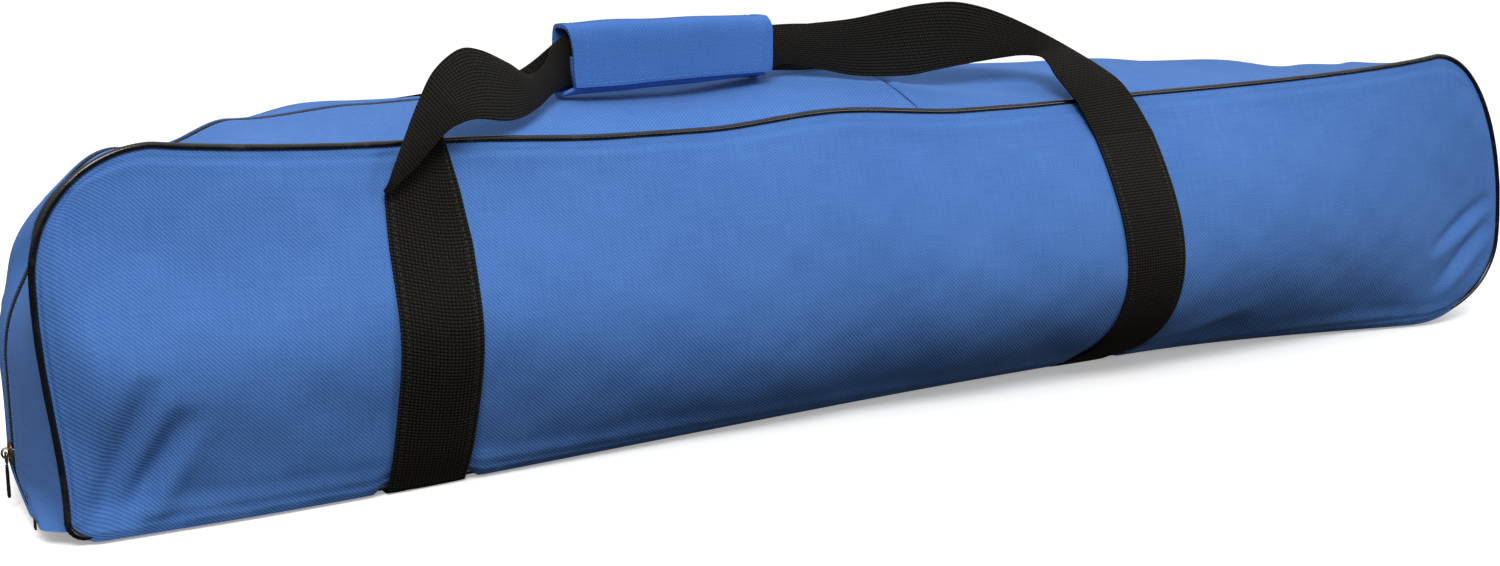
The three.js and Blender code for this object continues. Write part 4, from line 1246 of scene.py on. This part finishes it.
BAND_ROWS = np.linspace(0.885, 0.015, 46)
BAND_HEIGHT = 0.55
BAND_SAMPLES = 230
ACROSS = np.linspace(-0.5, 0.5, 13)
EDGE_THINNING = 1 - (2 * np.abs(ACROSS)) ** 4
# the turned-over top of the left band above its last row: offsets along x and behind the seam, and heights
FOLDED_TOP = ((2, -2.4, 207.5), (1, 0.5, 211.5), (0, 4, 215))


def band_wall(name, folded):
    """Centre lines of a band down the front panel, one for each place across it."""
    along = np.linspace(0.02, 0.98, 400)
    rows = np.concatenate([[0.985, 0.95, 0.92], BAND_ROWS]) if folded else BAND_ROWS
    lines = []
    for across in ACROSS:
        path = []
        for up in rows:
            row = panel_point(along, np.full_like(along, up))
            row[:, 1] -= end_fullness(row[:, 0], row[:, 2])
            left, right = band_edges(name, np.interp(band_x(name, 100), row[:, 0], row[:, 2]), folded)
            target = (left + right) / 2 + across * (right - left)
            path.append([np.interp(target, row[:, 0], row[:, axis]) for axis in range(3)])
        if folded:
            left, right = band_edges(name, 216, True)
            target = (left + right) / 2 + across * (right - left)
            for along_x, behind, height in FOLDED_TOP:
                path.insert(0, [target + along_x, -SEAM_HALF_DEPTH + behind, height])
        lines.append(path)
    return np.transpose(np.array(lines), (1, 0, 2))


def raised_wall(name, folded):
    """The same lines, raised off the panel and lower at both edges."""
    wall = band_wall(name, folded)
    outward = facing((0, -1, 0.2 if folded else -0.2), wall)
    stand = BAND_HEIGHT * (0.35 + 0.65 * EDGE_THINNING)
    return wall + grid_normals(wall, outward) * stand[None, :, None]


def make_band(name):
    """A webbing band down the front, under the base and up the back."""
    wall = raised_wall(name, name == "left")
    back_wall = raised_wall(name, False)
    foot = wall[-1]
    half = seam_half_depth(foot[:, 0], SEAM_LIFT)
    full = fullness(foot[:, 0])
    turn = np.radians(60 * full)
    reach = PIPING_RADIUS + 0.5
    base_x = foot[:, 0]
    roll = np.stack([base_x, -(half + reach * np.cos(turn)), SEAM_LIFT - reach * np.sin(turn)], -1)
    under = np.stack([base_x, -(half + 1.4 * (1 - full)), np.full_like(half, WEBBING + 0.6)], -1)
    flat = np.stack([base_x, -0.72 * half, np.full_like(half, WEBBING + 0.15)], -1)
    middle = flat * [1, 0, 1]
    under_the_case = [roll, under, flat, middle, flat * MIRROR, under * MIRROR, roll * MIRROR]
    stations = np.array([*wall, *under_the_case, *(back_wall[::-1] * MIRROR)])
    points = np.stack([spline(stations[:, j], BAND_SAMPLES) for j in range(len(ACROSS))], 1)
    outward = (points - MIDDLE) * [0, 1, 1]
    normals = grid_normals(points, outward)
    cloth = np.stack(np.broadcast_arrays(ACROSS[None] * WEBBING_WIDTH, arc_lengths(points, 0)[:, 6:7]), -1)
    shape = Shape()
    half_thick = WEBBING / 2 * (0.72 + 0.28 * EDGE_THINNING)[None, :, None]
    points = points + normals * (WEBBING / 2)
    skin = points + normals * half_thick
    shape.add_sheet(skin, points - normals * half_thick, cloth)
    for column in (1, -2):
        add_stitches(shape, skin[2:88, column], normals[2:88, column])
        add_stitches(shape, skin[-88:-2, column], normals[-88:-2, column])
    band = shape.build(f"webbing_{name}", [black_webbing, black_thread])
    settle(band, "case", "webbing", f"webbing_band_{name}")
    return points


band_points = {name: make_band(name) for name in BAND_LEAN}

# ---------------------------------------------------------------- handles

# Each line gives a point on the strap's lower edge and the point on its upper edge straight across from it.
FRONT_LEFT = [
    [(-372, -100.5, 184), (-374, -99.5, 188)],
    [(-361, -102.5, 194), (-368, -97, 199)],
    [(-349, -103.5, 206), (-362, -95, 211)],
    [(-338, -103, 216), (-356, -92, 222)],
    [(-328, -102, 220), (-349, -90, 235)],
    [(-320, -100, 221), (-342, -89, 247)],
    [(-311, -97, 220), (-333, -87, 255)],
    [(-300, -92, 218), (-322, -84, 260)],
    [(-288, -84, 217), (-308, -78, 258)],
    [(-275, -74, 219), (-286, -68, 248.5)],
    [(-263, -63, 222), (-268, -57, 239.5)],
    [(-252, -52, 226), (-254, -49, 245)],
    [(-241, -43, 229), (-244, -41, 256)],
    [(-228, -37.5, 231), (-230, -37, 262)],
]
FRONT_GRIP = [
    [(-160, -37, 231), (-160, -37, 262)],
    [(-94, -37.5, 231), (-94, -37, 262)],
]
FRONT_RIGHT = [
    [(-81, -39, 235), (-84, -39, 260)],
    [(-55, -41, 231), (-57, -40, 261)],
    [(-25, -43, 225), (-29, -42, 263)],
    [(15, -46, 223.5), (2, -45, 268)],
    [(32, -49, 226), (23, -47, 271)],
    [(64, -56, 231), (47, -53, 272)],
    [(87, -63, 234), (67, -57, 268)],
    [(99, -69, 235), (86, -62, 261)],
    [(105, -74, 234), (112, -67, 249)],
    [(107, -79, 230), (135, -74, 236)],
    [(108, -85, 223), (152, -81, 225)],
    [(113, -89, 215), (164, -87, 215)],
    [(121, -93, 204), (173, -92, 202)],
]
REAR_PATH = [
    [(-372, 92, 205), (-325, 92, 205)],
    [(-370, 86.5, 209.5), (-325, 85, 210)],
    [(-350, 56, 213.5), (-304, 54, 214.5)],
    [(-324, 24, 220.5), (-284, 14, 225)],
    [(-292, -4, 227), (-262, -6, 231)],
    [(-262, -23, 227), (-246, -20, 242)],
    [(-243, -30, 230), (-238, -29, 255)],
    [(-228, -31.5, 231), (-228, -31.5, 260)],
    [(-160, -31, 231), (-160, -31, 260)],
    [(-94, -31.5, 231), (-94, -31.5, 260)],
    [(-54, -24, 229), (-57, -20, 259)],
    [(-10, 0, 228), (-14, 16, 254)],
    [(34, 32, 228), (26, 58, 243)],
    [(64, 60, 226), (62, 94, 227)],
    [(88, 84, 219), (104, 110, 203)],
    [(110, 97, 204), (148, 113, 184)],
]


HANDLE_SAMPLES = 300
# lengths of strap at its left and its right end over which a weight towards the grip rises, which is not used
GRIP_REACH = {"front": (130, 240), "rear": (180, 290)}


def make_handle(name, start, rulings, end, seed):
    """A strap from one band's top ruling to the other's, through pairs of points on its two edges."""
    pairs = np.array([start, *rulings, end], float)
    low, high = (spline(pairs[:, edge], HANDLE_SAMPLES) for edge in (0, 1))
    across = np.linspace(0, 1, 15)
    points = low[:, None] * (1 - across)[None, :, None] + high[:, None] * across[None, :, None]
    normals = grid_normals(points, facing(TO_FRONT, points))
    turned = np.sign(np.sum(normals[1:] * normals[:-1], -1, keepdims=True))
    sense = np.concatenate([np.ones_like(turned[:1]), np.cumprod(turned, axis=0)])
    normals = normals * sense
    run = arc_lengths(points, 0)[:, 7:8]
    ends = np.minimum(run, run[-1] - run)
    chord = np.linalg.norm(high - low, axis=1)[:, None]
    bow = np.clip((WEBBING_WIDTH - chord) * 0.12, 0, 2.4) * smooth(ends / 40)
    wave = 0.35 * ripple(run, across[None] * 50, 70, seed) * smooth(ends / 30)
    points = points + normals * (bow * (1 - (2 * across[None] - 1) ** 2) + wave)[..., None]
    normals = grid_normals(points, normals)
    cloth = np.stack(np.broadcast_arrays(across[None] * WEBBING_WIDTH, run), -1)
    edge = 1 - (2 * np.abs(across - 0.5)) ** 6
    half_thick = WEBBING / 2 * (0.7 + 0.3 * edge)[None, :, None]
    shape = Shape()
    shape.add_sheet(points + normals * half_thick, points - normals * half_thick, cloth)
    strap = shape.build(f"handle_{name}_strap", [black_webbing], sagged=False)
    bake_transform(strap)
    grip_from, grip_to = GRIP_REACH[name]
    weight = smooth(run / grip_from) * smooth((run[-1, 0] - run) / grip_to)
    weight = np.broadcast_to(weight, points.shape[:2]).ravel()
    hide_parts(f"handle_{name}")


def top_ruling(name, back):
    """The two edges of a band's end, at the front or the back."""
    row = band_points[name][-1 if back else 0]
    return [tuple(row[0]), tuple(row[-1])]


FOLD_TIP = [(-374.5, -98.5, 181), (-376, -98, 184)]

make_handle("front", FOLD_TIP, FRONT_LEFT + FRONT_GRIP + FRONT_RIGHT, top_ruling("right", False), 51)
make_handle("rear", top_ruling("left", True), REAR_PATH, top_ruling("right", True), 57)

# ---------------------------------------------------------------- the wrap

WRAP = {
    "start": -237, "end": -93, "y": -35, "z": 246.5,
    "half_depth": 12.4, "half_height": 20.3, "squareness": 0.44, "droop": 5.5,
}
WRAP_THICKNESS = 2.0
WRAP_GAP = 0.3
HOOK = 0.8


def signed_power(value, power):
    return np.sign(value) * np.abs(value) ** power


def wrap_grid(from_angle, to_angle, columns, rows, inset_at, ends):
    """Points round the wrap's section from one angle to another; ends are cut off its two ends."""
    share, place = np.meshgrid(np.linspace(0, 1, columns), np.linspace(0, 1, rows), indexing="ij")
    angle = np.radians(from_angle + (to_angle - from_angle) * share)
    front = smooth(-np.cos(angle) * 1.5)
    down = (1 - np.sin(angle)) / 2
    start = WRAP["start"] + ends[0] + 7 * front * down
    end = WRAP["end"] - ends[1] - 3 * front * np.abs(2 * down - 0.9) ** 3
    x = start + (end - start) * place
    swell = 1.1 * np.sin(math.pi * place) ** 0.6 + 0.45 * ripple(x, angle * 22, 60, 71)
    out = swell - inset_at(share)
    y = WRAP["y"] + (WRAP["half_depth"] + out) * signed_power(np.cos(angle), WRAP["squareness"])
    z = WRAP["z"] + (WRAP["half_height"] + out) * signed_power(np.sin(angle), WRAP["squareness"])
    z = z - WRAP["droop"] * down * (1 - place) ** 1.4
    points = np.stack([x, y, z], -1)
    middle = np.stack([x, np.full_like(x, WRAP["y"]), np.full_like(x, WRAP["z"])], -1)
    return points, grid_normals(points, points - middle)


HEM = 8


def hem_lift(points):
    """A doubled edge at both ends of the wrap, pressed down along its stitch line."""
    x = points[..., 0]
    from_end = np.minimum(x - x[:, :1], x[:, -1:] - x)
    doubled = 0.5 * smooth((HEM - from_end) / 1.2)
    return (doubled - 0.5 * hump(from_end - HEM + 1.6, 1.1))[..., None]


def peel_weight(points):
    """How much of the wrap's front half turns with it: none along its top seam."""
    return smooth((WRAP["y"] - points[:, 1]) / 11)


def make_wrap():
    """The padded wrap round the handles: its body, its flap and the strips that hold it shut."""
    hook_inset = WRAP_THICKNESS + WRAP_GAP
    loop_inset = hook_inset + HOOK + WRAP_GAP
    lip_inset = loop_inset + HOOK + WRAP_GAP
    # name, CAD node, body, slot, angles with columns and rows, inset, thickness, cut off both ends, finish
    pieces = (
        ("wrap_body_fabric", "wrap_body", "handles", "case_fabric", (89.8, -182, 120, 60),
         lambda share: lip_inset * smooth((share - 0.55) / 0.2), WRAP_THICKNESS, (0, 0), blue_wrap),
        ("wrap_flap_fabric", "wrap_flap", "wrap_flap", "case_fabric", (90.2, 206, 70, 60),
         lambda share: 0 * share, WRAP_THICKNESS, (0, 0), blue_wrap),
        ("wrap_loops", "wrap_loop_strip", "handles", "zip_tape", (-150, -180, 12, 40),
         lambda share: loop_inset + 0 * share, HOOK, (6, 9), loop_tape),
        ("wrap_hooks", "wrap_hook_strip", "wrap_flap", "zip_tape", (182, 205, 12, 40),
         lambda share: hook_inset + 0 * share, HOOK, (6, 9), hook_tape),
    )
    for name, node, body, slot, span, inset_at, thickness, ends, finish in pieces:
        points, normals = wrap_grid(*span, inset_at, ends)
        shape = Shape()
        cloth = np.stack([points[..., 0], arc_lengths(points, 0)], -1)
        if finish is blue_wrap:
            skin = points + normals * hem_lift(points)
            shape.add_sheet(skin, points - normals * thickness, cloth)
            for column in (4, -5):
                add_stitches(shape, skin[2:-2, column], normals[2:-2, column])
            if node == "wrap_flap":
                add_stitches(shape, skin[-5, 3:-3], normals[-5, 3:-3])
        else:
            add_layer(shape, points, normals, 0, -thickness, cloth)
        piece = shape.build(name, [finish, blue_thread], sagged=False)
        if node == "wrap_flap":
            bend_between(piece, peel_weight)
            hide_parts(node)
        else:
            settle(piece, body, slot, node)


make_wrap()

# ---------------------------------------------------------------- the slider, its pull and the stops


def middle_of(node):
    """The middle of a CAD node and its three sides, in millimetres."""
    low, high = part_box(node)
    return (np.array(low) + np.array(high)) / 2 / MM, (np.array(high) - np.array(low)) / MM


def add_block(shape, centre, size, bevel):
    """A block with cut edges and corners."""
    x, y, z = np.array(size) / 2
    rings = []
    for level, cut in ((-z, bevel), (-z + bevel, 0), (z - bevel, 0), (z, bevel)):
        wide, deep = y - cut, x - cut
        corner = min(bevel * 1.6, 0.6 * min(wide, deep))
        ring = [
            (-deep, -wide + corner), (-deep, wide - corner), (-deep + corner, wide), (deep - corner, wide),
            (deep, wide - corner), (deep, -wide + corner), (deep - corner, -wide), (-deep + corner, -wide),
        ]
        rings.append([(a, b, level) for a, b in ring])
    rings = np.array(rings) + np.asarray(centre)
    shape.add_sweep(rings, rings[..., 1:], closed=False)


def soften(piece):
    """Rounds the sharp edges of a cast piece."""
    bevel = piece.modifiers.new("bevel", "BEVEL")
    bevel.width = 0.0003
    bevel.segments = 3
    bevel.limit_method = "ANGLE"
    bevel.angle_limit = math.radians(35)


def add_prism(shape, outline, thickness, place):
    """An outline in (across, up) given a thickness along x, centred on place."""
    outline = np.array(outline, float)
    rings = np.stack([
        np.column_stack([np.full(len(outline), offset), outline[:, 0], outline[:, 1]])
        for offset in (-thickness / 2, thickness / 2)
    ]) + np.asarray(place)
    shape.add_sweep(rings, rings[..., 1:], closed=False)


# outlines as shares of the slider's half width and half height
SLIDER_TAIL = ((-0.96, -0.2), (-0.72, -0.9), (-0.5, -1), (0.5, -1), (0.72, -0.9), (0.96, -0.2))
SLIDER_RAIL = ((0.98, 0.5), (0.98, -0.3), (0.76, -0.95), (0.58, -0.9), (0.78, -0.2), (0.78, 0.55))
SLIDER_PLATE = 1.4
BAR_RADIUS = 0.62
RAIL_DEPTH = 2.6


def make_slider():
    """The slider's cast body with its two rails, and the bail that carries the pull."""
    centre, size = middle_of("zip_slider_body")
    low_x = centre[0] - size[0] / 2
    half = size[1:] / 2
    angle = np.radians(np.linspace(20, 160, 9))
    head = np.column_stack([np.cos(angle), 0.35 + 0.65 * np.sin(angle)])
    shape = Shape()
    outline = np.vstack([head, SLIDER_TAIL]) * half
    add_prism(shape, outline, SLIDER_PLATE, (low_x + SLIDER_PLATE / 2, 0, centre[2]))
    for side in (-1, 1):
        rail = np.array(SLIDER_RAIL) * half * [side, 1]
        add_prism(shape, rail, RAIL_DEPTH, (low_x + SLIDER_PLATE + 1.1, 0, centre[2]))
    body = shape.build("slider_body", [plated_zinc], sharp=30, sagged=False)
    soften(body)
    settle(body, "zip_slider", "zip_metal", "zip_slider_body")

    bail_centre, bail_size = middle_of("zip_slider_bail")
    base_x = bail_centre[0] + bail_size[0] / 2
    share = np.linspace(0, 1, 21)
    half = bail_size[2] / 2 - 0.7
    rise = bail_size[0] - 0.6
    track = np.column_stack([base_x - 0.2 - rise * np.sin(math.pi * share) ** 0.55, 0 * share,
                             bail_centre[2] + half * np.cos(math.pi * share)])
    side = facing(TO_BACK, track)
    up = np.cross(side, unit(np.gradient(track, axis=0)))
    rings = tube_rings(track, up, side, BAR_RADIUS, 1.45, 12)
    shape = Shape()
    shape.add_sweep(rings, rings[..., 1:], closed=False)
    bail = shape.build("slider_bail", [plated_zinc], sagged=False)
    settle(bail, "zip_slider", "zip_metal", "zip_slider_bail")


def make_pull():
    """The ring and the enamelled grip."""
    centre, size = middle_of("zip_pull_link")
    top, low = centre[2] + size[2] / 2, centre[2] - size[2] / 2
    corner = 1.1
    wide = size[1] / 2 - 0.55 - corner
    high, deep = top - 0.6 - corner, low + 0.6 + corner
    turns = ((wide, high, 0), (-wide, high, 90), (-wide, deep, 180), (wide, deep, 270))
    track = np.array([(centre[0], y + corner * math.cos(angle), z + corner * math.sin(angle))
                      for y, z, start in turns
                      for angle in np.radians(np.linspace(start, start + 90, 6))])
    tangent = unit(np.roll(track, -1, axis=0) - np.roll(track, 1, axis=0))
    out = facing((1, 0, 0), track)
    rings = tube_rings(track, out, np.cross(out, tangent), BAR_RADIUS, BAR_RADIUS, 10)
    shape = Shape()
    shape.add_sweep(rings, rings[..., 1:], closed=True)
    settle(shape.build("pull_ring", [plated_zinc], sagged=False), "zip_pull", "zip_metal", "zip_pull_link")

    centre, size = middle_of("zip_pull_tab")
    half_z = size[2] / 2
    head_angle = np.radians(np.linspace(0, 180, 9))
    wide, narrow = size[1] / 2, size[1] / 2 * 0.72
    head = np.column_stack([narrow * np.cos(head_angle), half_z - narrow + narrow * np.sin(head_angle)])
    foot_angle = np.radians(np.linspace(180, 360, 11))
    foot = np.column_stack([wide * np.cos(foot_angle), -half_z + wide + wide * np.sin(foot_angle)])
    waist = np.array([[-narrow * 0.8, 2.0], [-narrow * 0.9, -1.0]])
    outline = np.vstack([head, waist, foot, waist[::-1] * [-1, 1]])
    shape = Shape()
    for part, thickness in ((outline, size[0]), (outline * [0.62, 0.74], size[0] + 0.35)):
        add_prism(shape, part, thickness, (centre[0], 0, centre[2]))
    tab = shape.build("pull_grip", [black_enamel], sharp=30, sagged=False)
    soften(tab)
    settle(tab, "zip_pull", "pull_enamel", "zip_pull_tab")


def make_stop(name, node, on_the_end):
    """A crimped stop with two small ridges on its outer face."""
    centre, size = middle_of(node)
    shape = Shape()
    add_block(shape, centre, size, bevel=0.28)
    for offset in (-0.8, 0.8):
        if on_the_end:
            place, ridge = [-(size[0] / 2 + 0.05), offset, 0], [0.4, 0.5, size[2] * 0.8]
        else:
            place, ridge = [offset, 0, size[2] / 2 + 0.05], [0.5, size[1] * 0.8, 0.4]
        add_block(shape, centre + place, ridge, bevel=0.12)
    settle(shape.build(name, [plated_zinc], sharp=30, sagged=False), "case", "zip_metal", node)


make_slider()
make_pull()
make_stop("bottom_stop", "zip_bottom_stop", on_the_end=True)
make_stop("top_stop", "zip_top_stop", on_the_end=False)

# ---------------------------------------------------------------- floor and light


def make_stage():
    """A pale floor that the lamps leave white, with a soft shadow."""
    bpy.ops.mesh.primitive_plane_add(size=40, location=(0, 0, -0.0003))
    floor = bpy.context.active_object
    floor.name = "floor"
    finish = Finish("pale_floor", Roughness=0.85, Specular_IOR_Level=0.1, Emission_Strength=0.3,
                    Emission_Color=colour(1, 1, 1))
    tint = finish.blend(finish.noise(finish.place(), 3.0), colour(0.93, 0.93, 0.93), colour(0.95, 0.95, 0.95))
    floor.data.materials.append(finish.finish(Base_Color=tint))
    floor.visible_diffuse = False
    floor.visible_glossy = False


def add_light(name, place, target, size, watts):
    data = bpy.data.lights.new(name, "AREA")
    data.shape = "RECTANGLE"
    data.size, data.size_y = size
    data.energy = watts
    light = bpy.data.objects.new(name, data)
    light.location = place
    aim = np.array(target, float) - np.array(place, float)
    light.rotation_euler = (
        math.acos(-aim[2] / np.linalg.norm(aim)), 0, math.atan2(aim[1], aim[0]) - math.pi / 2)
    bpy.context.scene.collection.objects.link(light)


# name, place, target, width and height in metres, and watts of each lamp
LAMPS = (
    ("key", (-1.15, -2.0, 2.2), (-0.15, 0, 0.12), (1.4, 1.0), 66),
    ("overhead", (0.3, 0.3, 2.6), (0.1, 0, 0.15), (2.4, 1.4), 4),
    ("fill", (1.5, -2.1, 0.6), (0.35, 0, 0.1), (1.2, 0.8), 13),
)
# where the sky starts and ends to brighten, from level (0) to straight up (1), and its two brightnesses
SKY_RAMP = (-0.02, 0.7, 0.03, 0.9)


def make_lighting():
    """A sky that brightens upwards, so that little light comes from the sides, and three soft lamps."""
    world = bpy.data.worlds.new("studio")
    world.use_nodes = True
    tree = world.node_tree
    background = tree.nodes["Background"]
    direction = tree.nodes.new("ShaderNodeTexCoord").outputs["Generated"]
    parts = tree.nodes.new("ShaderNodeSeparateXYZ")
    tree.links.new(direction, parts.inputs[0])
    ramp = tree.nodes.new("ShaderNodeMapRange")
    for index, value in enumerate(SKY_RAMP, 1):
        ramp.inputs[index].default_value = value
    tree.links.new(parts.outputs[2], ramp.inputs[0])
    tree.links.new(ramp.outputs[0], background.inputs[0])
    background.inputs[1].default_value = 1.0
    bpy.context.scene.world = world
    for lamp in LAMPS:
        add_light(*lamp)
    bpy.context.scene.view_settings.view_transform = "Standard"


make_stage()
make_lighting()
